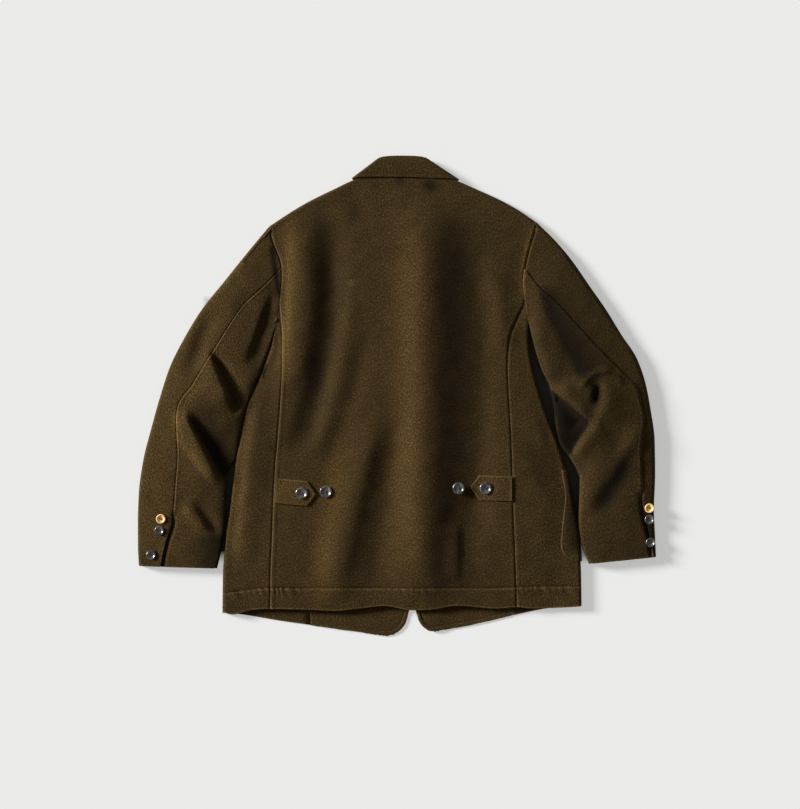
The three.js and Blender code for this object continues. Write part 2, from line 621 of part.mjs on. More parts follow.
// Height of the body's upper face
function bodyTop(x, y) {
  const SIDE_SPREAD = 110;
  const TOP_SPREAD = 120;
  const HEM_SPREAD = 130;
  const FOLD_START = 26;
  const fromSide = Math.min(x - leftEdge(y), rightEdge(y) - x);
  const fromTop = topLine(x) - y;
  const fromHem = y - backHem(x);
  const middle = smooth(fromSide / SIDE_SPREAD) * smooth(fromTop / TOP_SPREAD);
  const base = EDGE_HEIGHT + BODY_RISE * middle * smooth(0.4 + fromHem / HEM_SPREAD);
  const sunk = HEM_DROP * (1 - smooth(fromHem / HEM_SPREAD)) * smooth(fromSide / 50);
  const folds = foldsAt(BODY_FOLDS, x, y) * smooth(fromSide / FOLD_START) * smooth(fromTop / FOLD_START);
  return Math.max(base - sunk + folds, LEAST_BACK);
}

// The body's panels

const UP = new THREE.Vector3(0, 0, 1);
const DOWN = new THREE.Vector3(0, 0, -1);
// Rows from the hem to the armhole, closer together over the rounded corners at the hem
const ROW_SHARES = [0, 0.022, 0.06, 0.11];
const EVEN_ROWS = 12;
for (let n = 1; n <= EVEN_ROWS; n += 1) ROW_SHARES.push(lerp(0.11, 1, n / EVEN_ROWS));
const LOWER_ROWS = ROW_SHARES.length - 1;
const upperPoint = (p) => ({ point: new THREE.Vector3(p.x, p.y, bodyTop(p.x, p.y)), normal: UP });

// The seam between the back and one side panel, from the hem up to the armhole
function backSeam(sleeve) {
  const top = armholeAt(sleeve, indexOf(sleeve.stations, "back")).point;
  const column = sleeve.side < 0 ? "leftSeam" : "rightSeam";
  const x = track([...BODY_LEVELS, { y: top.y, [column]: top.x }], "y", column);
  const hemY = backHem(x(BODY_LEVELS[0].y));
  return ROW_SHARES.map((share) => {
    const y = lerp(hemY, top.y, share);
    return plan(x(y), y);
  });
}

// The seam between a front and its side panel on the lower face, from the hem up to the armhole
function frontSeam(sleeve) {
  const top = armholeAt(sleeve, indexOf(sleeve.stations, "front")).point;
  const column = sleeve.side < 0 ? "left" : "right";
  const x = track([...LOWER_SEAMS, { y: top.y, [column]: top.x }], "y", column);
  const hemY = frontHem(x(LOWER_SEAMS[0].y));
  return ROW_SHARES.map((share) => {
    const y = lerp(hemY, top.y, share);
    return plan(x(y), y);
  });
}

// Columns of the top outline, with the neck points among them
function topColumns(from, to, counts) {
  const stops = [from, NECK.left, NECK.right, to];
  const xs = [];
  counts.forEach((count, part) => {
    for (let i = 0; i < count; i += 1) xs.push(lerp(stops[part], stops[part + 1], i / count));
  });
  return [...xs, to];
}

// Direction away from the body at a point of the top outline, seen from above
function outwardAt(x) {
  const STEP = 2;
  const slope = (topLine(x + STEP) - topLine(x - STEP)) / (2 * STEP);
  return plan(-slope, 1).normalize();
}

// How far the top outline is rolled over: fully at the shoulders, not at all along the neck seam
function shoulderShare(x) {
  const RAMP = 26;
  return smooth(Math.max(NECK.left - x, x - NECK.right) / RAMP);
}

// One point over the turn at the top of the body, of its upper (1) or lower (-1) face: rolled over at the
// shoulders to meet the other face there, and flat along the neck
function turnedPoint(rim, outward, degrees, share, low, face) {
  const angle = (degrees * Math.PI) / 180;
  const p = rim.clone().addScaledVector(outward, -EDGE_TURN * (1 - Math.cos(angle)));
  const start = rim.clone().addScaledVector(outward, -EDGE_TURN);
  const high = bodyTop(start.x, start.y);
  const rolled = low + ((high - low) / 2) * (1 + face * Math.sin(angle));
  const upright = Math.asin(Math.min(1, 2 * (1 - share))) / (Math.PI / 2);
  const facing = lerp(angle, Math.PI / 2, upright);
  const side = Math.cos(facing);
  const normal = new THREE.Vector3(outward.x * side, outward.y * side, face * Math.sin(facing));
  return { point: new THREE.Vector3(p.x, p.y, lerp(face > 0 ? high : low, rolled, share)), normal };
}

function backPanel() {
  const upward = (sleeve) => {
    const points = backSeam(sleeve);
    for (let n = indexOf(sleeve.stations, "back") - 1; n >= 2; n -= 1) {
      const { point } = armholeAt(sleeve, n);
      points.push(plan(point.x, point.y));
    }
    return points;
  };
  const left = upward(leftSleeve);
  const right = upward(rightSleeve);
  const columns = topColumns(TOP_LINE[0].x, TOP_LINE[TOP_LINE.length - 1].x, [SHOULDER_CELLS, NECK_CELLS, SHOULDER_CELLS]);
  const last = columns.length - 1;
  const bottom = columns.map((_, i) => {
    const x = lerp(left[0].x, right[0].x, i / last);
    return plan(x, backHem(x));
  });
  const top = columns.map((x, i) => {
    if (i === 0) return left[left.length - 1];
    if (i === last) return right[right.length - 1];
    const outward = outwardAt(x);
    return plan(x, topLine(x)).addScaledVector(outward, -EDGE_TURN);
  });
  bottom[0] = left[0];
  bottom[last] = right[0];
  const grid = coons(left, right, bottom, top).map((row) => row.map(upperPoint));
  const turned = [45, 0].map((degrees, n) => {
    const row = columns.map((x) => {
      const rim = plan(x, topLine(x));
      return turnedPoint(rim, outwardAt(x), degrees, shoulderShare(x), lift(rim.x, rim.y), 1);
    });
    row[0] = armholeAt(leftSleeve, 1 - n);
    row[last] = armholeAt(rightSleeve, 1 - n);
    return row;
  });
  return [...grid, ...turned];
}

// A side panel wraps round the side of the body from the back's seam to the front's
function sidePanel(sleeve) {
  const first = indexOf(sleeve.stations, "back");
  const final = indexOf(sleeve.stations, "front");
  const count = final - first;
  const rows = LOWER_ROWS;
  const back = backSeam(sleeve);
  const front = frontSeam(sleeve);
  const edge = sleeve.side < 0 ? leftEdge : rightEdge;
  const floor = sleeve.side < 0 ? lift : rightLift;
  const base = sleeve.side < 0 ? leftBase : rightBase;
  const TOP_FLATS = 2;
  const TURNS = [90, 45, 0, -45, -90];
  const grid = [];
  for (let j = 0; j < rows; j += 1) {
    const v = ROW_SHARES[j];
    const row = [];
    const levelAt = (hemY, topY) => lerp(hemY, topY, v);
    const upperTop = (share) => lerp(back[rows].y, base.y, share);
    const lowerTop = (share) => lerp(base.y, front[rows].y, share);
    const rimY = levelAt(backHem(sleeve.side * 290), base.y);
    const rimX = edge(rimY);
    const turnX = rimX - sleeve.side * EDGE_TURN;
    for (let k = 0; k < TOP_FLATS; k += 1) {
      const share = k / TOP_FLATS;
      const x = lerp(back[j].x, turnX, share);
      const y = k === 0 ? back[j].y : levelAt(backHem(x), upperTop(share));
      row.push(upperPoint(plan(x, y)));
    }
    for (const degrees of TURNS) {
      const angle = (degrees * Math.PI) / 180;
      const x = rimX - sleeve.side * EDGE_TURN * (1 - Math.cos(angle));
      const hemY = lerp(frontHem(x), backHem(x), (1 + Math.sin(angle)) / 2);
      const y = levelAt(hemY, base.y);
      const high = bodyTop(turnX, y);
      const low = floor(turnX, y);
      const z = low + ((high - low) / 2) * (1 + Math.sin(angle));
      const normal = new THREE.Vector3(sleeve.side * Math.cos(angle), 0, Math.sin(angle));
      row.push({ point: new THREE.Vector3(x, y, z), normal });
    }
    const lowerFlats = count - TOP_FLATS - (TURNS.length - 1);
    for (let k = 1; k <= lowerFlats; k += 1) {
      const share = k / lowerFlats;
      const x = lerp(turnX, front[j].x, share);
      const y = k === lowerFlats ? front[j].y : levelAt(frontHem(x), lowerTop(share));
      row.push({ point: new THREE.Vector3(x, y, floor(x, y)), normal: DOWN });
    }
    grid.push(row);
  }
  const armhole = [];
  for (let n = first; n <= final; n += 1) armhole.push(armholeAt(sleeve, n));
  return [...grid, armhole];
}

// The front edge of a front at a height: straight, then cut away and rounded towards the hem
function frontEdge(side, y) {
  const lap = side < 0 ? FRONT_LAP : -FRONT_LAP;
  const corner = side < 0 ? LEFT_CORNER : RIGHT_CORNER;
  const up = Math.max(0, y - frontHem(corner.foot));
  const cut = corner.slant * Math.max(0, 1 - up / corner.reach) ** 1.6;
  const inCorner = clamp(1 - up / corner.radius, 0, 1);
  const round = corner.radius * (1 - Math.sqrt(1 - inCorner * inCorner));
  return FRONT_LINE + lap - (side < 0 ? 1 : -1) * (cut + round);
}

// The top outline of a front from the shoulder point: the shoulder, then the neck seam dropping to the centre
function frontTopY(x, side) {
  const start = side < 0 ? NECK.left : NECK.right;
  if ((x - start) * side >= 0) return topLine(x);
  const share = Math.min(1, (x - start) / (FRONT_LINE - start));
  return topLine(start) - FRONT_NECK_DROP * Math.sin((share * Math.PI) / 2) ** 1.1;
}

// Columns of a front's top outline: over the shoulder, along the neck seam to where the other front's edge lies, and
// on over the line of buttons to its own edge
const FRONT_NECK_CELLS = 3;
function frontColumns(side) {
  const shoulderX = side < 0 ? TOP_LINE[0].x : TOP_LINE[TOP_LINE.length - 1].x;
  const neckX = side < 0 ? NECK.left : NECK.right;
  const edgeX = frontEdge(side, topLine(neckX));
  const xs = [];
  const lapX = 2 * FRONT_LINE - edgeX;
  for (let i = 0; i < SHOULDER_CELLS; i += 1) xs.push(lerp(shoulderX, neckX, i / SHOULDER_CELLS));
  for (let i = 0; i < FRONT_NECK_CELLS; i += 1) xs.push(lerp(neckX, lapX, i / FRONT_NECK_CELLS));
  return [...xs, lapX, FRONT_LINE, edgeX];
}

// Direction away from a front at a point of its top outline, seen from above
function frontOutward(x, side) {
  const STEP = 2;
  const slope = (frontTopY(x + STEP, side) - frontTopY(x - STEP, side)) / (2 * STEP);
  return plan(-slope, 1).normalize();
}

function frontPanel(sleeve) {
  const first = indexOf(sleeve.stations, "front");
  const final = sleeve.stations.length - 3;
  const side = sleeve.side;
  const floor = side < 0 ? lift : rightLift;
  const armside = frontSeam(sleeve);
  for (let n = first + 1; n <= final; n += 1) {
    const { point } = armholeAt(sleeve, n);
    armside.push(plan(point.x, point.y));
  }
  const rows = armside.length - 1;
  const columns = frontColumns(side);
  const last = columns.length - 1;
  const top = columns.map((x, i) => {
    if (i === 0) return armside[rows].clone();
    return plan(x, frontTopY(x, side)).addScaledVector(frontOutward(x, side), -EDGE_TURN);
  });
  const hemY = frontHem((side < 0 ? LEFT_CORNER : RIGHT_CORNER).foot);
  const centre = sharesAlong(armside).map((share) => {
    const y = lerp(hemY, top[last].y, share);
    return plan(frontEdge(side, y), y);
  });
  const bottom = columns.map((_, i) => {
    const x = lerp(armside[0].x, centre[0].x, i / last);
    return plan(x, frontHem(x));
  });
  bottom[0] = armside[0];
  bottom[last] = centre[0];
  top[last] = centre[rows];
  const lower = (p) => ({ point: new THREE.Vector3(p.x, p.y, floor(p.x, p.y)), normal: DOWN });
  const grid = coons(armside, centre, bottom, top).map((row) => row.map(lower));
  const turned = [45, 0].map((degrees, n) => {
    const row = columns.map((x) => {
      const rim = plan(x, frontTopY(x, side));
      return turnedPoint(rim, frontOutward(x, side), degrees, shoulderShare(x), floor(rim.x, rim.y), -1);
    });
    row[0] = armholeAt(sleeve, final + 1 + n);
    return row;
  });
  return [...grid, ...turned];
}

// The sleeves

const SLEEVE_SECTIONS = 21;

// The part of a sleeve between two stations of its ring, from the armhole to the cuff
function sleevePanel(sleeve, from, to) {
  const grid = [];
  for (let j = 0; j <= SLEEVE_SECTIONS; j += 1) {
    const at = j / SLEEVE_SECTIONS;
    const row = [];
    for (let n = from; n <= to; n += 1) row.push(sleeve.form(at, sleeve.stations[n % sleeve.stations.length]));
    grid.push(row);
  }
  return grid;
}

// The upper sleeve runs from the inseam round the outer edge to the hind seam, and the under sleeve over the rest
function upperSleeve(sleeve) {
  const grid = sleevePanel(sleeve, indexOf(sleeve.stations, "inseam"), sleeve.stations.length - 1);
  const rest = sleevePanel(sleeve, 1, indexOf(sleeve.stations, "hind"));
  return grid.map((row, j) => [...row, ...rest[j]]);
}

function underSleeve(sleeve) {
  return sleevePanel(sleeve, indexOf(sleeve.stations, "hind"), indexOf(sleeve.stations, "inseam"));
}

// The collar

// One crossing of the collar: the fall from its free edge to the fold, the fold, and the stand down to the neck seam.
// The points lie on the fall's outer face, the direction is the way that face looks, and the stand's far face lies
// the given depth behind it.
function collarCrossing(edge, fold, neck, direction, depth = 2 * CLOTH + COLLAR_AIR) {
  const spread = depth / 2;
  const along = fold.clone().sub(edge).normalize();
  const turnStart = fold.clone().addScaledVector(along, -spread);
  const crossing = [];
  for (const share of [0, 0.4, 0.8]) {
    crossing.push({ point: edge.clone().lerp(turnStart, share), normal: direction });
  }
  for (const degrees of [90, 45, 0, -45, -90]) {
    const bend = (degrees * Math.PI) / 180;
    const normal = direction.clone().multiplyScalar(Math.sin(bend)).addScaledVector(along, Math.cos(bend));
    const point = turnStart.clone().addScaledVector(direction, -spread).addScaledVector(normal, spread);
    crossing.push({ point, normal });
  }
  const inside = direction.clone().negate();
  for (const share of [0.5, 1]) {
    const point = turnStart.clone().lerp(neck, share).addScaledVector(inside, 2 * spread);
    crossing.push({ point, normal: inside });
  }
  return crossing;
}

// A crossing at the side of the neck, where the collar turns from the upper face to the lower one
function sideCrossing(side, degrees) {
  const NECK_SHARE = 0.22;
  const row = side < 0 ? COLLAR_UPPER[0] : COLLAR_UPPER[COLLAR_UPPER.length - 1];
  const angle = (degrees * Math.PI) / 180;
  const run = plan(row.foldX - row.edgeX, row.foldY - row.edgeY).normalize();
  const outward = plan(-run.y, run.x).multiplyScalar(-side);
  const direction = new THREE.Vector3(outward.x * Math.cos(angle), outward.y * Math.cos(angle), Math.sin(angle));
  const lay = (x, y) => {
    const p = plan(x, y).addScaledVector(outward, -EDGE_TURN * (1 - Math.cos(angle)));
    return new THREE.Vector3(p.x, p.y, (COLLAR_TOP / 2) * (1 + Math.sin(angle)));
  };
  const edge = lay(row.edgeX, row.edgeY);
  const fold = lay(row.foldX, row.foldY);
  return collarCrossing(edge, fold, edge.clone().lerp(fold, NECK_SHARE), direction);
}

function collar() {
  const [edgeX, edgeY, foldX, foldY] = ["edgeX", "edgeY", "foldX", "foldY"].map((name) =>
    track(COLLAR_UPPER, "at", name),
  );
  const END = 0.06;
  const upper = (i) => {
    const at = lerp(END, 1 - END, i / NECK_CELLS);
    const x = lerp(NECK.left, NECK.right, i / NECK_CELLS);
    const edge = new THREE.Vector3(edgeX(at), edgeY(at), COLLAR_TOP);
    const fold = new THREE.Vector3(foldX(at), foldY(at), COLLAR_TOP);
    return collarCrossing(edge, fold, new THREE.Vector3(x, topLine(x), COLLAR_TOP), UP);
  };
  const lower = (side) =>
    COLLAR_LOWER.map(({ stand, over, lean }, i) => {
      const x = frontColumns(side)[SHOULDER_CELLS + 1 + i];
      const neck = plan(x, frontTopY(x, side));
      const inwards = frontOutward(x, side);
      const depth = (side < 0 ? lift : rightLift)(neck.x, neck.y) + CLOTH;
      const lay = (p) => new THREE.Vector3(p.x, p.y, 0);
      const edge = neck.clone().addScaledVector(inwards, -over);
      edge.x += side * lean;
      return collarCrossing(lay(edge), lay(neck.clone().addScaledVector(inwards, stand)), lay(neck), DOWN, depth);
    });
  const grid = [...lower(-1).reverse(), ...[-90, -45, 0, 45].map((turn) => sideCrossing(-1, turn))];
  for (let i = 0; i <= NECK_CELLS; i += 1) grid.push(upper(i));
  return [...grid, ...[45, 0, -45, -90].map((turn) => sideCrossing(1, turn)), ...lower(1)];
}

// What is sewn on the panels

// Height of a grid's highest face over a point
function facetHeight(grid, x, y) {
  let highest = -Infinity;
  const side = (a, b) => (b.x - a.x) * (y - a.y) - (b.y - a.y) * (x - a.x);
  for (let r = 0; r < grid.length - 1; r += 1) {
    for (let c = 0; c < grid[0].length - 1; c += 1) {
      const [p, q, s, t] = [grid[r][c], grid[r][c + 1], grid[r + 1][c + 1], grid[r + 1][c]].map((v) => v.point);
      for (const [a, b, d] of [
        [p, q, s],
        [p, s, t],
      ]) {
        const [wd, wa, wb] = [side(a, b), side(b, d), side(d, a)];
        const whole = wa + wb + wd;
        const inside = whole !== 0 && [wa, wb, wd].every((w) => w / whole >= -1e-9);
        if (inside) highest = Math.max(highest, (wa * a.z + wb * b.z + wd * d.z) / whole);
      }
    }
  }
  return highest;
}

// A point of the body's outer face by its distance round the side: positive on the upper face
function aroundSide(sleeve, panel, y, girth) {
  const edge = sleeve.side < 0 ? leftEdge : rightEdge;
  const turnX = edge(y) - sleeve.side * EDGE_TURN;
  const angle = clamp(girth / EDGE_TURN, -Math.PI / 2, Math.PI / 2);
  const past = Math.max(0, Math.abs(girth) - QUARTER);
  const x = turnX + sleeve.side * (EDGE_TURN * Math.cos(angle) - past);
  const normal = new THREE.Vector3(sleeve.side * Math.cos(angle), 0, Math.sin(angle));
  if (past > 0) {
    const z = girth > 0 ? facetHeight(panel, x, y) : POCKET_LAP;
    return { point: new THREE.Vector3(x, y, z), normal: girth > 0 ? UP : DOWN };
  }
  const high = bodyTop(turnX, y);
  const low = POCKET_LAP;
  return { point: new THREE.Vector3(x, y, low + ((high - low) / 2) * (1 + Math.sin(angle))), normal };
}

// Distances round the side of a pocket's columns, from its rear edge to its inner one. A pocket that reaches round
// the side keeps clear of the turned cloth with its rear edge.
function pocketColumns(from, to) {
  const FLATS = 5;
  const CLEAR = 2;
  const flats = (start) => Array.from({ length: FLATS }, (_, i) => lerp(start, to, (i + 1) / FLATS));
  if (from < -QUARTER) return [from, ...flats(from)];
  const rear = Math.max(from, QUARTER + CLEAR);
  return [rear, (rear + QUARTER) / 2, QUARTER, QUARTER / 2, 0, -QUARTER / 2, -QUARTER, ...flats(-QUARTER)];
}

// A patch pocket with two round lower corners, laid on the panels
function pocket(sleeve, panel, rows) {
  const CORNER_SHARES = [0, 0.08, 0.3, 1];
  const BODY_SHARES = [0.4, 0.6, 0.8, 1];
  const height = rows[rows.length - 1].y - POCKET.bottom;
  const levels = [
    ...CORNER_SHARES.map((share) => POCKET.bottom + share * POCKET.corner),
    ...BODY_SHARES.map((share) => POCKET.bottom + share * height),
  ];
  const reach = track(rows, "y", "reach");
  const inner = track(rows, "y", "inner");
  const edge = sleeve.side < 0 ? leftEdge : rightEdge;
  return levels.map((y) => {
    const depth = clamp(1 - (y - POCKET.bottom) / POCKET.corner, 0, 1);
    const inset = POCKET.corner * (1 - Math.sqrt(1 - depth * depth));
    const end = EDGE_TURN - QUARTER - Math.abs(edge(y) - inner(y));
    return pocketColumns(reach(y) - inset, end + inset).map((girth) => {
      const { point, normal } = aroundSide(sleeve, panel, y, girth);
      return { point: point.clone().addScaledVector(normal, POCKET_LAP), normal };
    });
  });
}

// A waist tab with a pointed end, laid on the back from its seam
function tab(back, side, root) {
  const LENGTHWISE = [0, 0.2, 0.4, 0.6, 0.8, 0.9, 1];
  const ACROSS = [-1, -0.5, 0, 0.5, 1];
  const reach = TAB.length + TAB.point;
  return LENGTHWISE.map((share) => {
    const run = share * reach;
    const half = (TAB.width / 2) * clamp((reach - run) / TAB.point, TAB.blunt, 1);
    return ACROSS.map((part) => {
      const x = root.x - side * run;
      const y = root.y + root.slope * run + part * half;
      const z = facetHeight(back, x, y) + TAB_CLOTH + TAB_AIR;
      return { point: new THREE.Vector3(x, y, z), normal: UP };
    });
  });
}

// A round button, its face up, with a raised rim and a dished middle
function buttonGeometry({ radius, thick }) {
  const profile = [
    [0, 0],
    [radius * 0.78, 0],
    [radius, thick * 0.5],
    [radius * 0.88, thick],
    [radius * 0.6, thick * 0.74],
    [0, thick * 0.62],
  ];
  const outline = profile.map(([r, z]) => new THREE.Vector2(r, z));
  return new THREE.LatheGeometry(outline, BUTTON_SIDES).rotateX(Math.PI / 2);
}

const jacket = new THREE.Group();

function addWall(name, grid, thickness = CLOTH) {
  const mesh = new THREE.Mesh(wall(grid, thickness), CLOTH_FINISH);
  mesh.name = name;
  jacket.add(mesh);
}

function addButton(name, size, finish) {
  const mesh = new THREE.Mesh(buttonGeometry(size), finish);
  mesh.name = name;
  jacket.add(mesh);
  return mesh;
}

const back = seamed(backPanel());
const leftSide = seamed(sidePanel(leftSleeve));
const rightSide = seamed(sidePanel(rightSleeve));
const upperLeft = seamed(upperSleeve(leftSleeve));
const upperRight = seamed(upperSleeve(rightSleeve));
const leftTab = tab(back, -1, LEFT_TAB);
const rightTab = tab(back, 1, RIGHT_TAB);

addWall("back", back);
addWall("side_panel_left", leftSide);
addWall("side_panel_right", rightSide);
addWall("front_left", seamed(frontPanel(leftSleeve)));
addWall("front_right", seamed(frontPanel(rightSleeve)));
addWall("upper_sleeve_left", upperLeft);
addWall("under_sleeve_left", seamed(underSleeve(leftSleeve)));
addWall("upper_sleeve_right", upperRight);
addWall("under_sleeve_right", seamed(underSleeve(rightSleeve)));
addWall("collar", seamed(collar()));
addWall("tab_left", leftTab, TAB_CLOTH);
addWall("tab_right", rightTab, TAB_CLOTH);

addWall("pocket_left", pocket(leftSleeve, leftSide, LEFT_POCKET), POCKET_CLOTH);
addWall("pocket_right", pocket(rightSleeve, rightSide, RIGHT_POCKET), POCKET_CLOTH);

const carriers = {
  back,
  tab_left: leftTab,
  tab_right: rightTab,
  upper_sleeve_left: upperLeft,
  upper_sleeve_right: upperRight,
};
for (const { name, on, x, y, size, pale } of LAID_BUTTONS) {
  const button = addButton(name, size, pale ? NUT_FINISH : HORN_FINISH);
  let top = facetHeight(carriers[on], x, y);
  for (let n = 0; n < BUTTON_SIDES; n += 1) {
    const angle = (2 * Math.PI * n) / BUTTON_SIDES;
    const rim = facetHeight(carriers[on], x + size.radius * Math.cos(angle), y + size.radius * Math.sin(angle));
    if (rim > top) top = rim;
  }
  button.position.set(x, y, top + SEAM_GAP);
}
for (let n = 0; n < BUTTON_COUNT; n += 1) {
  const y = FIRST_BUTTON_Y - n * BUTTON_PITCH;
  const seat = lift(FRONT_LINE, y) - BUTTON_SEAT;
  const button = addButton(`front_button_${n + 1}`, { radius: BIG_BUTTON.radius, thick: seat }, HORN_FINISH);
  button.rotation.x = Math.PI;
  button.position.set(FRONT_LINE, y, seat);
}

export default jacket;
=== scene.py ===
"""A cardigan jacket of brushed woven cloth, laid flat with its back upwards.

Lengths in the tables are millimetres and are turned into metres where a mesh is made. +X runs to the viewer's
right, +Y towards the collar and +Z up from the surface that the jacket rests on.
"""
import logging
import math
from dataclasses import dataclass
from enum import Enum
from typing import Callable, Iterable, Sequence

import bmesh
import bpy
import numpy as np
from mathutils import Matrix, Vector


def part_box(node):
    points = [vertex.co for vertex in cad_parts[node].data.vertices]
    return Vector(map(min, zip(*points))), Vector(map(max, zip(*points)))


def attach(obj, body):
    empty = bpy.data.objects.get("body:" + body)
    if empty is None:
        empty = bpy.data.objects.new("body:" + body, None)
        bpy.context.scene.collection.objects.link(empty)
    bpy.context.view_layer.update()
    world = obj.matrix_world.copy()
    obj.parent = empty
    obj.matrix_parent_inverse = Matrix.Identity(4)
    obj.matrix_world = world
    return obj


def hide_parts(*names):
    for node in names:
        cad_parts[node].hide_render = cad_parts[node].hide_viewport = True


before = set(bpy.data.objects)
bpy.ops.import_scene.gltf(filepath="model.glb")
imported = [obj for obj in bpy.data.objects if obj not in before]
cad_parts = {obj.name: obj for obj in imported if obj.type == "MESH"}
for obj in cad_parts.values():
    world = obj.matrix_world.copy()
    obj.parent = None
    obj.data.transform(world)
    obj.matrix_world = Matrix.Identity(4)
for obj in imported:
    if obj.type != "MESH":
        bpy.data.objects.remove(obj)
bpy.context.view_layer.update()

LOG = logging.getLogger("jacket")
MM = 0.001
METRES = Matrix.Diagonal((MM, MM, MM, 1.0))
Array = np.ndarray
Place = Callable[[Array, Array], Array]


class Face(Enum):
    """Which way a piece of cloth looks."""

    UPPER = 1
    LOWER = -1


class Side(Enum):
    """The viewer's side of the jacket."""

    LEFT = -1
    RIGHT = 1


class Term:
    """A socket in an expression: arithmetic on it adds Math nodes."""

    def __init__(self, graph: "Graph", socket: bpy.types.NodeSocket) -> None:
        """Keeps the graph that the socket belongs to."""
        self.graph = graph
        self.socket = socket

    def __add__(self, other: "Term | float") -> "Term":
        """Returns the sum."""
        return self.graph.math("ADD", self, other)

    __radd__ = __add__

    def __mul__(self, other: "Term | float") -> "Term":
        """Returns the product."""
        return self.graph.math("MULTIPLY", self, other)

    __rmul__ = __mul__

    def __sub__(self, other: "Term | float") -> "Term":
        """Returns the difference."""
        return self.graph.math("SUBTRACT", self, other)

    def __rsub__(self, other: float) -> "Term":
        """Returns a number less this value."""
        return self.graph.math("SUBTRACT", other, self)


Given = Term | float | tuple[float, ...]


class Graph:
    """A material's nodes, with one method that adds any node."""

    def __init__(self, name: str) -> None:
        """Makes a material and finds its shader.

        Args:
            name: the material's name.
        """
        self.material = bpy.data.materials.new(name)
        self.material.use_nodes = True
        self.tree = self.material.node_tree
        self.shader = self.tree.nodes["Principled BSDF"]

    def add(self, kind: str, settings: dict, values: dict[str | int, Given], output: str | int = 0) -> Term:
        """Adds a node.

        Args:
            kind: the node's type.
            settings: its settings, which are set before its sockets.
            values: numbers or links of its sockets, by name or number.
            output: the socket to hand back.

        Returns:
            The chosen output.
        """
        node = self.tree.nodes.new(kind)
        for key, value in settings.items():
            if key == "stops":
                self.set_stops(node.color_ramp, value)
            else:
                setattr(node, key, value)
        for key, value in values.items():
            self.feed(node.inputs[key], value)
        return Term(self, node.outputs[output])

    def feed(self, socket: bpy.types.NodeSocket, value: Given) -> None:
        """Links a term to a socket, or sets the socket to a number."""
        if isinstance(value, Term):
            self.tree.links.new(value.socket, socket)
        else:
            socket.default_value = value

    @staticmethod
    def set_stops(ramp: bpy.types.ColorRamp, stops: Sequence[tuple[float, float]]) -> None:
        """Gives a ramp its stops, each a place and a grey."""
        for element, (place, grey) in zip(ramp.elements, (stops[0], stops[-1])):
            element.position = place
            element.color = (grey, grey, grey, 1)
        for place, grey in stops[1:-1]:
            ramp.elements.new(place).color = (grey, grey, grey, 1)

    def math(self, operation: str, first: Given, second: Given = 0.0) -> Term:
        """Returns the result of a Math node."""
        return self.add("ShaderNodeMath", {"operation": operation}, {0: first, 1: second})

    def mix(self, factor: Given, first: Given, second: Given, blend: str = "MIX") -> Term:
        """Returns a mix of two colours."""
        settings = {"data_type": "RGBA", "blend_type": blend, "clamp_factor": True}
        return self.add("ShaderNodeMix", settings, {0: factor, 6: first, 7: second}, 2)

    def stretch(self, vector: Term, scale: tuple[float, float, float]) -> Term:
        """Returns a vector with each part multiplied by its own number."""
        return self.add("ShaderNodeVectorMath", {"operation": "MULTIPLY"}, {0: vector, 1: scale})

    def noise(self, vector: Term, size: float, detail: float = 2.0, roughness: float = 0.5) -> Term:
        """Returns a noise whose blotches are of a size, in the units of the vector."""
        values = {"Vector": vector, "Scale": 1 / size, "Detail": detail, "Roughness": roughness}
        return self.add("ShaderNodeTexNoise", {"noise_dimensions": "3D"}, values)

    def spread(self, value: Term, low: float, high: float) -> Term:
        """Returns 0 at low and 1 at high, clamped."""
        values = {"Value": value, "From Min": low, "From Max": high}
        return self.add("ShaderNodeMapRange", {"clamp": True}, values)

    def bump(self, height: Term, distance: float, strength: float, under: Term | None = None) -> Term:
        """Returns a normal roughened by a height."""
        values: dict[str | int, Given] = {"Height": height, "Distance": distance, "Strength": strength}
        if under is not None:
            values["Normal"] = under
        return self.add("ShaderNodeBump", {}, values)

    def finish(self, varying: dict[str, Given], constant: dict[str, Given]) -> bpy.types.Material:
        """Feeds the shader: what varies is linked, and what is the same all over is set on it."""
        for name, value in {**varying, **constant}.items():
            self.feed(self.shader.inputs[name], value)
        return self.material


Colour = tuple[float, float, float, float]


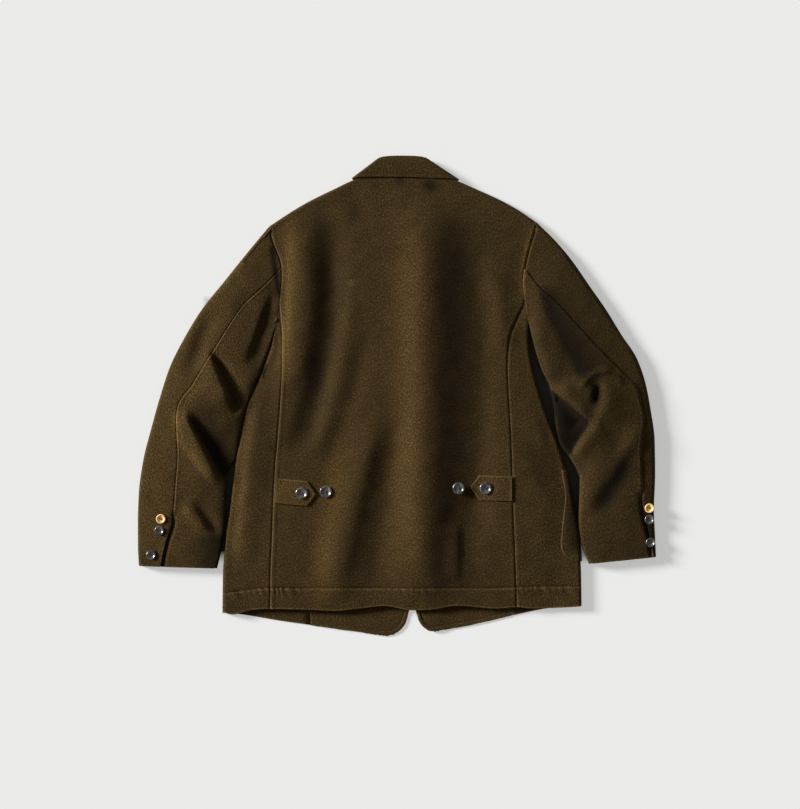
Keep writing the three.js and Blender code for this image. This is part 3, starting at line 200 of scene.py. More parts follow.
@dataclass(frozen=True)
class BrushedCloth:
    """Brown olive woven cloth, brushed to a soft pile, flecked with lighter and darker fibres. Its colour
    also carries painted shade and painted highlights from a per-point attribute, and is lighter along each
    piece's edges, partly from rubbing and partly as a painted highlight.

    fleck, fibre, cloud, rib and tuft are sizes in millimetres, the shares say how much of the tone each
    gives, and the heights of the bumps are metres.
    """

    ground: Colour = (0.043, 0.0254, 0.0072, 1)
    pale: Colour = (0.112, 0.07, 0.0225, 1)
    deep: Colour = (0.0135, 0.0075, 0.0022, 1)
    # The next colour lightens each piece's edges: partly rubbing of the cloth, partly a painted highlight
    # along the edges.
    rubbed_and_highlit: Colour = (0.135, 0.086, 0.034, 1)
    # The next two colours tint the cloth darker for painted shade and lighter for painted highlights.
    painted_shade_grey: Colour = (0.12, 0.12, 0.12, 1)
    along: Colour = (2.0, 1.95, 1.8, 1)
    fleck: float = 2.6
    fibre: float = 1.3
    cloud: float = 30.0
    rib: float = 1.15
    tuft: float = 0.7
    fleck_share: float = 0.5
    fibre_share: float = 0.32
    cloud_share: float = 0.08
    rib_share: float = 0.1
    # Share of the edge lightening, which is partly rubbing and partly painted highlight.
    wear_and_highlight: float = 0.7
    rough: float = 0.82
    rough_swing: float = 0.12
    fleck_height: float = 0.0011
    tuft_height: float = 0.0004

    def make(self) -> bpy.types.Material:
        """Builds the material on the grain attribute, whose lengths are metres along the cloth.

        Returns:
            The material.
        """
        graph = Graph("brushed_cloth")
        grain = graph.add("ShaderNodeAttribute", {"attribute_name": "grain"}, {}, "Vector")
        worn_and_highlit = graph.add("ShaderNodeAttribute", {"attribute_name": "worn_and_highlit"}, {}, "Fac")
        painted_shading_attr = graph.add("ShaderNodeAttribute", {"attribute_name": "nap"}, {}, "Fac")
        at = graph.stretch(grain, (1000, 1000, 1000))
        parts = graph.add("ShaderNodeSeparateXYZ", {}, {0: at}, "X")
        lengthwise = Term(graph, parts.socket.node.outputs["Y"])
        flecks = graph.spread(graph.noise(at, self.fleck, 3, 0.65), 0.35, 0.65)
        fibres = graph.spread(graph.noise(graph.stretch(at, (1.0, 0.33, 1.0)), self.fibre, 2, 0.6), 0.3, 0.7)
        clouds = graph.spread(graph.noise(at, self.cloud, 3, 0.55), 0.3, 0.7)
        ribs = graph.math("SINE", (parts + lengthwise) * (2 * math.pi / self.rib)) * 0.5 + 0.5
        tone = flecks * self.fleck_share + fibres * self.fibre_share
        tone = tone + clouds * self.cloud_share + ribs * self.rib_share
        low = graph.mix(graph.spread(tone, 0.1, 0.5), self.deep, self.ground)
        colour = graph.mix(graph.spread(tone, 0.5, 0.9), low, self.pale)
        # Lighter towards each piece's edges: partly rubbing of the cloth, partly a painted highlight.
        colour = graph.mix(graph.spread(worn_and_highlit * (0.5 + flecks), 0.2, 1.3) * self.wear_and_highlight, colour, self.rubbed_and_highlit)
        # Painted shade where the attribute read above is below 0, painted highlight where it is above 0.
        colour = graph.mix(graph.spread(0 - painted_shading_attr, 0.0, 1.0), colour, self.painted_shade_grey, "MULTIPLY")
        colour = graph.mix(graph.spread(painted_shading_attr, 0.0, 1.0), colour, self.along, "MULTIPLY")
        tufts = graph.noise(graph.stretch(at, (1.0, 0.5, 1.0)), self.tuft, 2, 0.6)
        soft = graph.bump(flecks, self.fleck_height, 0.55)
        normal = graph.bump(tufts * 0.6 + ribs * 0.4, self.tuft_height, 0.6, soft)
        rough = self.rough + flecks * self.rough_swing
        varying = {"Base Color": colour, "Roughness": rough, "Normal": normal}
        constant = {
            "Specular IOR Level": 0.08,
            "Sheen Weight": 0.03,
            "Sheen Roughness": 0.55,
            "Sheen Tint": (0.9, 0.65, 0.35, 1),
        }
        return graph.finish(varying, constant)


@dataclass(frozen=True)
class Thread:
    """Sewing thread in the cloth's own colour, a little lighter and smoother."""

    light: Colour = (0.1, 0.062, 0.024, 1)
    dark: Colour = (0.045, 0.027, 0.009, 1)
    twist: float = 0.0009

    def make(self) -> bpy.types.Material:
        """Builds the material on Object coordinates.

        Returns:
            The material.
        """
        graph = Graph("sewing_thread")
        at = graph.add("ShaderNodeTexCoord", {}, {}, "Object")
        plies = graph.noise(at, self.twist, 2, 0.5)
        colour = graph.mix(graph.spread(plies, 0.35, 0.65), self.dark, self.light)
        varying = {
            "Base Color": colour,
            "Roughness": 0.55 + plies * 0.2,
            "Normal": graph.bump(plies, 0.0002, 0.4),
        }
        return graph.finish(varying, {"Specular IOR Level": 0.35})


@dataclass(frozen=True)
class Horn:
    """Polished dark horn: nearly black with cloudy grey streaks under a clear gloss."""

    name: str = "dark_horn"
    body: Colour = (0.01, 0.0095, 0.009, 1)
    streak: Colour = (0.17, 0.165, 0.155, 1)
    size: float = 0.004

    def make(self) -> bpy.types.Material:
        """Builds the material on Object coordinates.

        Returns:
            The material.
        """
        graph = Graph(self.name)
        at = graph.add("ShaderNodeTexCoord", {}, {}, "Object")
        wisps = graph.spread(graph.noise(graph.stretch(at, (1.0, 0.35, 1.0)), self.size, 4, 0.6), 0.42, 0.72)
        scuffs = graph.noise(at, self.size / 5, 3, 0.6)
        varying = {
            "Base Color": graph.mix(wisps, self.body, self.streak),
            "Roughness": 0.22 + scuffs * 0.14,
            "Normal": graph.bump(scuffs, 0.0001, 0.4),
        }
        return graph.finish(varying, {"Specular IOR Level": 1.0, "Coat Weight": 0.9, "Coat Roughness": 0.2})


@dataclass(frozen=True)
class PaleWood:
    """Orange yellow wood with darker speckles under a varnish."""

    body: Colour = (0.78, 0.42, 0.14, 1)
    light: Colour = (0.95, 0.66, 0.3, 1)
    speck: Colour = (0.25, 0.07, 0.015, 1)
    size: float = 0.003

    def make(self) -> bpy.types.Material:
        """Builds the material on Object coordinates.

        Returns:
            The material.
        """
        graph = Graph("pale_wood")
        at = graph.add("ShaderNodeTexCoord", {}, {}, "Object")
        cells = graph.noise(at, self.size, 3, 0.6)
        specks = graph.spread(graph.noise(at, self.size * 0.55, 2, 0.5), 0.6, 0.72)
        colour = graph.mix(graph.spread(cells, 0.35, 0.65), self.body, self.light)
        varying = {"Base Color": graph.mix(specks, colour, self.speck), "Roughness": 0.3 + cells * 0.15}
        return graph.finish(varying, {"Specular IOR Level": 0.4, "Coat Weight": 0.25, "Coat Roughness": 0.2})


@dataclass(frozen=True)
class StudioFloor:
    """A pale floor that glows a little round the jacket, a painted light that keeps the jacket's shadow on it
    light, and that is painted dark under the jacket, a painted shadow where it shows in the gaps.
    """

    tint: Colour = (0.415, 0.415, 0.409, 1)
    glow: Colour = (0.436, 0.436, 0.429, 1)
    # Painted shadow: the floor's dark colour under the jacket, which shows in the gaps between the sleeves
    # and the body.
    under: Colour = (0.05, 0.048, 0.038, 1)
    dark: Colour = (0.0, 0.0, 0.0, 1)
    half_width: float = 0.3
    half_height: float = 0.2
    middle: float = -0.055
    fade: float = 0.02

    def make(self) -> bpy.types.Material:
        """Builds the floor's material: it doesn't glow in the gaps between the sleeves and the body, where
        its colour is a painted shadow.

        Returns:
            The material.
        """
        graph = Graph("pale_floor")
        at = graph.add("ShaderNodeTexCoord", {}, {}, "Object")
        x = graph.add("ShaderNodeSeparateXYZ", {}, {0: at}, "X")
        y = Term(graph, x.socket.node.outputs["Y"])
        past_side = graph.math("ABSOLUTE", x) - self.half_width
        past_end = graph.math("ABSOLUTE", y - self.middle) - self.half_height
        share = graph.spread(graph.math("MAXIMUM", past_side, past_end), 0.0, self.fade)
        constant = {"Roughness": 1.0, "Specular IOR Level": 0.0, "Emission Strength": 1.0}
        base = graph.mix(share, self.under, self.tint)
        glow = graph.mix(share, self.dark, self.glow)
        return graph.finish({"Base Color": base, "Emission Color": glow}, constant)


def smooth(share: Array | float) -> Array | float:
    """Returns an eased share, 0 below 0 and 1 above 1."""
    s = np.clip(share, 0.0, 1.0)
    return s * s * (3.0 - 2.0 * s)


def lerp(start: Array | float, end: Array | float, share: Array | float) -> Array | float:
    """Returns the value at a share of the way from start to end."""
    return start + (end - start) * share


def unit(x: Array, y: Array) -> tuple[Array, Array]:
    """Returns a plan direction of length one."""
    length = np.hypot(x, y)
    return x / length, y / length


class Track:
    """A smooth curve through rows that never overshoots them."""

    def __init__(self, xs: Sequence[float], ys: Sequence[float]) -> None:
        """Keeps the rows and works out a slope at each.

        Args:
            xs: where the rows lie, rising.
            ys: the value at each row.
        """
        self.xs = np.array(xs, float)
        self.ys = np.array(ys, float)
        rates = np.diff(self.ys) / np.diff(self.xs)
        before, after = rates[:-1], rates[1:]
        with np.errstate(divide="ignore", invalid="ignore"):
            mean = np.where(before * after > 0, 2 * before * after / (before + after), 0.0)
        self.slopes = np.concatenate([rates[:1], mean, rates[-1:]])

    def __call__(self, x: Array | float) -> Array:
        """Works out the value at x, held level past either end.

        Args:
            x: where to read it.

        Returns:
            One value for each x.
        """
        at = np.clip(np.asarray(x, float), self.xs[0], self.xs[-1])
        i = np.clip(np.searchsorted(self.xs, at, side="right") - 1, 0, len(self.xs) - 2)
        step = self.xs[i + 1] - self.xs[i]
        s = (at - self.xs[i]) / step
        start = (1 + 2 * s) * (1 - s) ** 2 * self.ys[i] + s * (1 - s) ** 2 * step * self.slopes[i]
        end = s * s * (3 - 2 * s) * self.ys[i + 1] + s * s * (s - 1) * step * self.slopes[i + 1]
        return start + end


class Line:
    """A line of plan points, read by its share of the whole length."""

    def __init__(self, points: Sequence[tuple[float, float]] | Array) -> None:
        """Keeps the points and how far along each lies.

        Args:
            points: x and y of each, in order.
        """
        self.points = np.array(points, float)
        steps = np.hypot(*np.diff(self.points, axis=0).T)
        self.length = float(steps.sum())
        self.shares = np.concatenate([[0.0], np.cumsum(steps)]) / self.length

    def __call__(self, share: Array) -> Array:
        """Returns the plan points at shares of the length, as an array of two columns."""
        x = np.interp(share, self.shares, self.points[:, 0])
        y = np.interp(share, self.shares, self.points[:, 1])
        return np.stack([x, y], axis=-1)


@dataclass(frozen=True)
class Fold:
    """A soft ridge or trough of the cloth along a line, seen from above.

    left and right are its widths on a viewer's sides where it runs down the jacket, bow is how far its middle
    swings to that right, and a negative height is a trough. fade is the share of its length that each end
    takes to die away, and start the share of its widths that it has at its first end.
    """

    x0: float
    y0: float
    x1: float
    y1: float
    left: float
    right: float
    bow: float
    height: float
    fade: float = 0.22
    start: float = 1.0

    def at(self, x: Array, y: Array) -> Array:
        """Works out the height that this fold adds at plan points.

        Args:
            x: places across.
            y: places up.

        Returns:
            The heights.
        """
        dx, dy = self.x1 - self.x0, self.y1 - self.y0
        length = math.hypot(dx, dy)
        along = ((x - self.x0) * dx + (y - self.y0) * dy) / length**2
        across = ((y - self.y0) * dx - (x - self.x0) * dy) / length
        across = across - self.bow * 4 * along * (1 - along)
        width = np.where(across > 0, self.right, self.left) * lerp(self.start, 1.0, np.clip(along, 0, 1))
        ends = smooth(along / self.fade) * smooth((1 - along) / self.fade)
        return np.where((along > 0) & (along < 1), self.height * np.exp(-((across / width) ** 2)) * ends, 0.0)


def folded(folds: Iterable[Fold], x: Array, y: Array) -> Array:
    """Returns the height that a list of folds adds at plan points."""
    total = np.zeros_like(np.asarray(x, float))
    for fold in folds:
        total = total + fold.at(x, y)
    return total


CLOTH = 2.0
AIR = 0.6
LAP = CLOTH + AIR
EDGE_TURN = 6.0
INNER_TURN = 3.4
EDGE_HEIGHT = 12.0
QUARTER = EDGE_TURN * math.pi / 2
LEAST_TOP = 5.4
LEAST_BACK = 7.8
SHOULDER_LEFT = (-209.9, 278.8)
SHOULDER_RIGHT = (231.2, 283.7)
NECK_LEFT = -70.0
NECK_RIGHT = 97.0
FRONT_LINE = 24.6
FRONT_LAP = 17.0
FRONT_NECK_DROP = 92.0
BUTTON_YS = (205.0, 65.0, -75.0, -215.0)
BIG_RADIUS = 10.0
BIG_THICK = 3.0
POCKET_TOP = -97.0
POCKET_BOTTOM = -271.0
POCKET_CORNER = 26.0
POCKET_LAP = 2.6
BESIDE = 0.5
# Only cloth higher than this, the upper face, gets the painted shade and painted highlights
PAINTED_SHADING_ABOVE = 3.4

# Rows of the body: y, then x of the left outline, of the two back seams and of the right outline
BODY_LEVELS = (
    (-362, -287, -208.5, 197, 303.5),
    (-294, -286, -207.5, 194.7, 302.5),
    (-236, -281.5, -205, 192.4, 298.5),
    (-179, -273.5, -203, 190.2, 290),
    (-121, -266, -200, 188.6, 277),
    (-72, -259, -196, 187, 262),
    (-31, -251, -192.7, 185, 246),
    (10, -236, -190, 182.6, 233),
    (51, -218.5, -188, 181.2, 222),
    (92, -204.5, -188, 184, 216.5),
)
# Rows of the lower face: y, then x of the left and right side seams
LOWER_SEAMS = ((-380, -141.5, 186), (-200, -150, 178), (-50, -156, 173), (60, -164, 174))
BACK_HEM = (
    (-287, -354), (-270, -358.5), (-238, -351), (-212, -349.3), (-150, -350.3), (-103, -352.3),
    (-60, -348.5), (-20, -344.4), (26, -351.6), (54, -350.5), (100, -344), (164, -348.5), (197, -346.2),
    (220, -348.5), (297, -345.5), (304, -341),
)
FRONT_HEM = (
    (-287, -356), (-257, -359), (-192, -369.5), (-146, -376), (-54, -389), (-20, -393.4), (24, -393.4),
    (60, -387), (130, -374.6), (193, -360), (251, -348.5), (304, -343),
)
TOP_LINE = (
    (-209.9, 278.8), (-170.6, 304.5), (-142.7, 320.6), (-108.2, 337.4), (-70, 354.6), (-28, 365.4),
    (12, 368.4), (52, 365.6), (97, 353.4), (134.5, 337.8), (170.6, 321.4), (200, 305), (231.2, 283.7),
)
BODY_FOLDS = (
    Fold(-164, 312, -182, -20, 30, 26, 18, 8),
    Fold(-112, 306, -172, -120, 24, 22, 30, -6.5),
    Fold(-70, 190, -146, -120, 14, 16, 12, 2.4),
    Fold(-44, 120, -128, -140, 16, 16, 10, -2.4),
    Fold(-20, -6, -106, -372, 22, 22, -12, 6, 0.3),
    Fold(8, 16, -42, -372, 22, 22, -2, -4, 0.3),
    Fold(46, 340, 34, -372, 36, 40, 4, 8),
    Fold(114, 320, 104, -310, 40, 30, 28, -7.5),
    Fold(150, 230, 178, 60, 20, 20, 4, 3.4),
    Fold(98, -205, 96, -310, 16, 8, 0, 3.4),
    Fold(232, 20, 250, -260, 24, 26, -6, 2.4),
    Fold(-226, 20, -254, -300, 18, 26, -4, 5),
)
LEFT_SLEEVE_FOLDS = (
    Fold(-298, 158, -342, 14, 14, 16, 0, -4.5, 0.4),
    Fold(-198, 180, -244, 40, 9, 22, 0, -6, 0.3, 0.5),
    Fold(-318, 80, -272, -30, 22, 7, 4, 7, 0.3),
    Fold(-308, 76, -260, -32, 5, 20, 5, -8, 0.2, 0.4),
    Fold(-352, -14, -286, -146, 22, 9, -2, 8, 0.24),
    Fold(-348, -22, -276, -144, 7, 44, 0, -9, 0.26, 0.3),
    Fold(-336, -168, -286, -240, 8, 14, 2, -4.5, 0.4, 0.6),
    Fold(-353, -176, -312, -226, 9, 9, 0, 2.6, 0.3),
)
RIGHT_SLEEVE_FOLDS = (
    Fold(214, 140, 262, 20, 10, 16, 4, 4.5, 0.2),
    Fold(232, 176, 304, 30, 14, 28, 0, -4, 0.3, 0.4),
    Fold(256, 4, 310, -46, 26, 6, 0, -7, 0.2, 0.5),
    Fold(312, -36, 284, -96, 24, 6, 0, -7, 0.2),
    Fold(262, 24, 318, -40, 12, 10, 0, 4.5, 0.3),
    Fold(294, 8, 360, 46, 7, 14, 12, 4.5, 0.3),
    Fold(330, 28, 326, -24, 8, 8, 0, -7, 0.4),
    Fold(338, 32, 322, -50, 8, 26, 12, 5, 0.3),
    Fold(334, -38, 288, -98, 6, 22, 4, 5, 0.2),
    Fold(404, -40, 340, -160, 12, 22, 0, 4.6, 0.3),
    Fold(398, -70, 316, -214, 16, 16, 0, -6, 0.36),
)
# Painted shade and painted highlights: where the cloth is drawn darker in folds, valleys and shadows or,
# above 0, lighter on lit slopes and ridges
BODY_PAINTED_SHADING = (
    Fold(-171, 300, -187, 10, 10, 12, 0, 0.8),
    Fold(-136, 335, -190, -115, 16, 24, 38, -0.6, 0.16),
    Fold(-90, 348, -62, 270, 16, 16, 0, -0.35, 0.4),
    Fold(20, 350, 26, -372, 30, 24, 0, 0.5),
    Fold(78, 335, 62, -372, 24, 58, 8, -0.62, 0.12),
    Fold(-82, -50, -132, -372, 20, 15, -6, 0.7, 0.3),
    Fold(-18, -20, -88, -340, 8, 26, 0, -0.35, 0.3),
    Fold(-250, 0, -262, -290, 12, 16, -2, 0.3),
    Fold(-206, -60, -214, -170, 10, 8, 0, -0.35),
    Fold(286, -128, 292, -270, 11, 12, 0, -0.75),
    Fold(206, -60, 246, -170, 10, 18, 0, -0.4, 0.35),
    Fold(38, 354, 68, 336, 10, 10, 0, -0.8, 0.4),
    Fold(-4, 357, 14, 350, 8, 8, 0, -0.7, 0.4),
    Fold(-76, 191, -74, 179, 6, 6, 0, 0.9, 0.4),
    Fold(-207, 252, -192, 158, 5, 5, 0, -1, 0.12),
    Fold(227, 280, 208, 158, 5, 5, -8, 0.8, 0.1),
)
# The sleeves' painted shade and painted highlights
SLEEVE_PAINTED_SHADING = (
    Fold(-207, 252, -192, 158, 5, 5, 0, -1, 0.12),
    Fold(-255, 280, -390, -290, 70, 60, -34, 0.28, 0.08),
    Fold(-201, 176, -250, 44, 9, 26, 0, -0.2, 0.24, 0.6),
    Fold(-307, 74, -262, -26, 4, 11, 5, -0.5, 0.2, 0.4),
    Fold(-286, 52, -240, 10, 12, 20, 0, 0.35, 0.3),
    Fold(-346, -24, -276, -144, 5, 36, 0, -1, 0.16, 0.3),
    Fold(-334, 8, -272, -106, 14, 30, 0, -0.5, 0.3, 0.7),
    Fold(-310, 150, -354, 18, 10, 12, 0, -0.35, 0.4),
    Fold(-238, 186, -272, 120, 12, 8, 0, -0.35, 0.4),
    Fold(-365, -16, -353, -88, 5, 6, 0, 0.9, 0.3),
    Fold(-356, -78, -298, -150, 5, 7, 3, 1, 0.3),
    Fold(-358, -12, -296, 28, 8, 9, 0, 0.4, 0.4),
    Fold(-342, -160, -286, -250, 8, 22, 0, -0.25, 0.4, 0.6),
    Fold(-356, -172, -306, -232, 8, 8, 0, 0.45, 0.3),
    Fold(-302, -222, -296, -300, 30, 18, 0, -0.75, 0.2),
    Fold(-280, -130, -288, -280, 8, 8, 0, -0.6, 0.2),
    Fold(250, 290, 372, -300, 75, 80, 30, -0.3, 0.06),
    Fold(286, -90, 304, -270, 12, 12, 0, -0.3, 0.2),
    Fold(227, 280, 208, 158, 5, 5, -8, 0.8, 0.1),
    Fold(228, 190, 314, 10, 12, 50, 0, -0.75, 0.16, 0.4),
    Fold(252, 10, 314, -46, 34, 3, 0, -1.6, 0.08, 0.6),
    Fold(313, -43, 279, -98, 34, 3, 0, -1.6, 0.08),
    Fold(226, 110, 258, 14, 10, 8, 4, -0.35, 0.2),
    Fold(294, 8, 360, 45, 5, 5, 12, 0.6, 0.3),
    Fold(329, 26, 325, -22, 9, 10, 0, -0.8, 0.4),
    Fold(362, 42, 374, 12, 5, 7, 0, -0.6, 0.4),
    Fold(392, -76, 320, -210, 16, 17, 0, -0.75, 0.36),
    Fold(338, -60, 300, -240, 10, 12, -10, 0.35, 0.3),
    Fold(401, -178, 419, -264, 4, 5, 0, -1),
    Fold(-367, -184, -387, -286, 4, 4, 1, -1, 0.08),
)
# The tabs' painted highlights
TAB_PAINTED_SHADING = (
    Fold(-200, -155, -130, -160, 22, 22, 0, 0.7, 0.1),
    Fold(200, -150, 126, -150, 22, 22, 0, 0.15, 0.1),
)
# Rows of a sleeve: share along it, outer outline x and y, inner outline x and y, the hind seam as a share of
# the way across, and how much higher the middle lies than the edges
LEFT_SLEEVE_ROWS = (
    (0, -209.9, 278.8, -198.6, 121.4, 0.43, 3),
    (0.08, -242.7, 239.4, -201, 96, 0.42, 5),
    (0.18, -282.1, 190.2, -212, 60, 0.37, 7),
    (0.28, -321.4, 141, -229, 20, 0.378, 8),
    (0.37, -349.3, 95.1, -242, -13, 0.36, 9),
    (0.45, -372.3, 49.2, -251, -40, 0.324, 10),
    (0.53, -388.7, 0, -256, -68, 0.233, 9),
    (0.61, -403.4, -52.5, -262, -97, 0.307, 8),
    (0.69, -416.6, -105, -279.5, -133, 0.413, 8),
    (0.77, -423.9, -157.4, -280.4, -171, 0.419, 7),
    (0.85, -425.6, -203.4, -282.5, -210, 0.396, 6),
    (0.93, -425.6, -244.4, -287.5, -249, 0.324, 4),
    (1, -424, -279, -295.5, -283, 0.28, 2),
)
RIGHT_SLEEVE_ROWS = (
    (0, 231.2, 283.7, 215, 127, 0.49, 3),
    (0.07, 260.8, 254.2, 221.5, 105, 0.511, 5),
    (0.14, 287, 223, 229.5, 75, 0.458, 6),
    (0.22, 316.5, 180.4, 240.5, 42, 0.396, 8),
    (0.3, 342.8, 142.7, 254, 14, 0.351, 9),
    (0.39, 369, 100, 259, -14, 0.277, 10),
    (0.47, 393.6, 62.3, 262.5, -46, 0.204, 10),
    (0.55, 408.4, 19.7, 269, -77, 0.109, 10),
    (0.63, 416.6, -23, 288, -104, 0.103, 9),
    (0.71, 423.1, -72.2, 302, -136, 0.205, 8),
    (0.8, 424, -129.6, 301, -171, 0.188, 7),
    (0.88, 422, -187, 299.5, -204, 0.143, 6),
    (0.94, 423.8, -228, 303.5, -240, 0.077, 4),
    (1, 425.5, -264, 317, -275, 0.04, 2),
)
# How far the armholes bow towards the neck: share down the armhole, on the upper face and on the lower face
LEFT_ARMHOLE = (
    (0, 0, 0), (0.1, 2.8, 6), (0.2, 6.2, 13), (0.32, 12.6, 20), (0.42, 15.6, 24), (0.54, 14.6, 25),
    (0.68, 11, 22), (0.84, 6, 13), (1, 0, 0),
)
RIGHT_ARMHOLE = (
    (0, 0, 0), (0.1, 4, 7), (0.2, 7.4, 14), (0.32, 10.6, 20), (0.45, 13, 24), (0.6, 14.4, 25), (0.72, 11, 21),
    (0.85, 5.4, 12), (1, 0, 0),
)


def column(rows: Sequence[Sequence[float]], number: int) -> list[float]:
    """Returns one column of a table."""
    return [row[number] for row in rows]


class Body:
    """The outlines of the jacket's body and the heights of its two faces."""

    def __init__(self) -> None:
        """Fits a curve to each column of the body's tables."""
        slack = 10.0
        levels = column(BODY_LEVELS, 0)
        underarm_left, underarm_right = LEFT_SLEEVE_ROWS[0][3:5], RIGHT_SLEEVE_ROWS[0][3:5]
        self.left_edge = Track(
            [*levels, underarm_left[1], 200, 279],
            [*column(BODY_LEVELS, 1), underarm_left[0], -189 - slack, -210 - slack],
        )
        self.right_edge = Track(
            [*levels, underarm_right[1], 200, 284],
            [*column(BODY_LEVELS, 4), underarm_right[0], 208 + slack, 231 + slack],
        )
        self.top_line = Track(column(TOP_LINE, 0), column(TOP_LINE, 1))
        self.back_hem = Track(column(BACK_HEM, 0), column(BACK_HEM, 1))
        self.front_hem = Track(column(FRONT_HEM, 0), column(FRONT_HEM, 1))

    def edge(self, side: Side) -> Track:
        """Returns the outline of one side."""
        return self.left_edge if side is Side.LEFT else self.right_edge

    def top(self, x: Array, y: Array) -> Array:
        """Works out the height of the upper face at plan points.

        Args:
            x: places across.
            y: places up.

        Returns:
            The heights.
        """
        side_spread, top_spread, hem_spread, fold_start = 110.0, 120.0, 130.0, 26.0
        body_rise, hem_drop, drop_start, least_share = 6.5, 2.5, 50.0, 0.4
        from_side = np.minimum(x - self.left_edge(y), self.right_edge(y) - x)
        from_top = self.top_line(x) - y
        from_hem = y - self.back_hem(x)
        middle = smooth(from_side / side_spread) * smooth(from_top / top_spread)
        base = EDGE_HEIGHT + body_rise * middle * smooth(least_share + from_hem / hem_spread)
        sunk = hem_drop * (1 - smooth(from_hem / hem_spread)) * smooth(from_side / drop_start)
        folds = folded(BODY_FOLDS, x, y) * smooth(from_side / fold_start) * smooth(from_top / fold_start)
        return np.maximum(base - sunk + folds, LEAST_BACK)

    def lift(self, x: Array, y: Array) -> Array:
        """Works out how far the lowest cloth is lifted by what lies under it.

        Args:
            x: places across.
            y: places up.

        Returns:
            The heights.
        """
        ramp, margin, button_margin, button_ramp = 34.0, 8.0, 10.0, 44.0
        collar_x, collar_y, collar_reach = 10.0, 338.0, 122.0
        pocket_left, pocket_right, outside = -90.0, 126.0, 400.0
        under_collar = smooth(1 - (np.hypot(x - collar_x, y - collar_y) - collar_reach) / ramp)

        def band(value: Array, low: float, high: float) -> Array:
            """Returns 1 between low and high, easing to 0 past them."""
            return smooth(1 - np.maximum(low - value, value - high) / ramp)

        tall = band(y, POCKET_BOTTOM - margin, POCKET_TOP + margin)
        beside = np.maximum(band(x, pocket_right - margin, outside), band(x, -outside, pocket_left + margin))
        pockets = tall * beside
        over_buttons = np.zeros_like(np.asarray(x, float))
        for button_y in BUTTON_YS:
            away = np.hypot(x - FRONT_LINE, y - button_y)
            over_buttons = over_buttons + smooth(1 - (away - BIG_RADIUS - button_margin) / button_ramp)
        return np.maximum(under_collar * LAP, over_buttons * (BIG_THICK + AIR)) + pockets * POCKET_LAP

    def floor(self, side: Side, x: Array, y: Array) -> Array:
        """Works out the height of the lower face on one side: the right front lies over the left one's lap.

        Args:
            side: the side.
            x: places across.
            y: places up.

        Returns:
            The heights.
        """
        over_lap, past_lap, ramp = CLOTH + 1, 14, 40
        lift = self.lift(x, y)
        if side is Side.LEFT:
            return lift
        return lift + over_lap * smooth(1 - (x - FRONT_LINE - FRONT_LAP - past_lap) / ramp)

    def shoulder_share(self, x: Array) -> Array:
        """Returns how far the top outline is rolled over: fully at the shoulders and not along the neck."""
        ramp = 26
        return smooth(np.maximum(NECK_LEFT - x, x - NECK_RIGHT) / ramp)

    def front_top(self, x: Array, side: Side) -> Array:
        """Works out a front's top outline: its shoulder, then its neck seam dropping to the centre.

        Args:
            x: places across.
            side: the side.

        Returns:
            y for each x.
        """
        roundness = 1.1
        start = NECK_LEFT if side is Side.LEFT else NECK_RIGHT
        share = np.clip((x - start) / (FRONT_LINE - start), 0, 1)
        neck = self.top_line(start) - FRONT_NECK_DROP * np.sin(share * math.pi / 2) ** roundness
        return np.where((x - start) * side.value >= 0, self.top_line(x), neck)

    def outward(self, line: Callable[[Array], Array], x: Array) -> tuple[Array, Array]:
        """Returns the direction away from the body at points of a top outline."""
        step = 2
        slope = (line(x + step) - line(x - step)) / (2 * step)
        return unit(-slope, np.ones_like(slope))

    def turn_start(self, outline: Callable[[Array], Array], x: Array) -> Array:
        """Returns the plan points where the cloth starts to turn over a top outline."""
        out_x, out_y = self.outward(outline, x)
        return np.stack([x - out_x * EDGE_TURN, outline(x) - out_y * EDGE_TURN], axis=-1)

    def turned(
        self, x: Array, outline: Callable[[Array], Array], angle: Array, side: Side, face: Face
    ) -> Array:
        """Returns points over the turn at the top of the body.

        Args:
            x: where along the outline.
            outline: the top outline as a function of x.
            angle: 90 degrees where the turn starts and 0 at the outline, in radians.
            side: whose floor the lower face lies on.
            face: the face that is turned.

        Returns:
            The points.
        """
        out_x, out_y = self.outward(outline, x)
        rim_y = outline(x)
        start_x, start_y = x - out_x * EDGE_TURN, rim_y - out_y * EDGE_TURN
        inset = EDGE_TURN * (1 - np.cos(angle))
        high = self.top(start_x, start_y)
        low = self.floor(side, x, rim_y)
        rolled = low + (high - low) / 2 * (1 + face.value * np.sin(angle))
        flat = high if face is Face.UPPER else low
        z = lerp(flat, rolled, self.shoulder_share(x))
        return np.stack([x - out_x * inset, rim_y - out_y * inset, z], axis=-1)


BODY = Body()


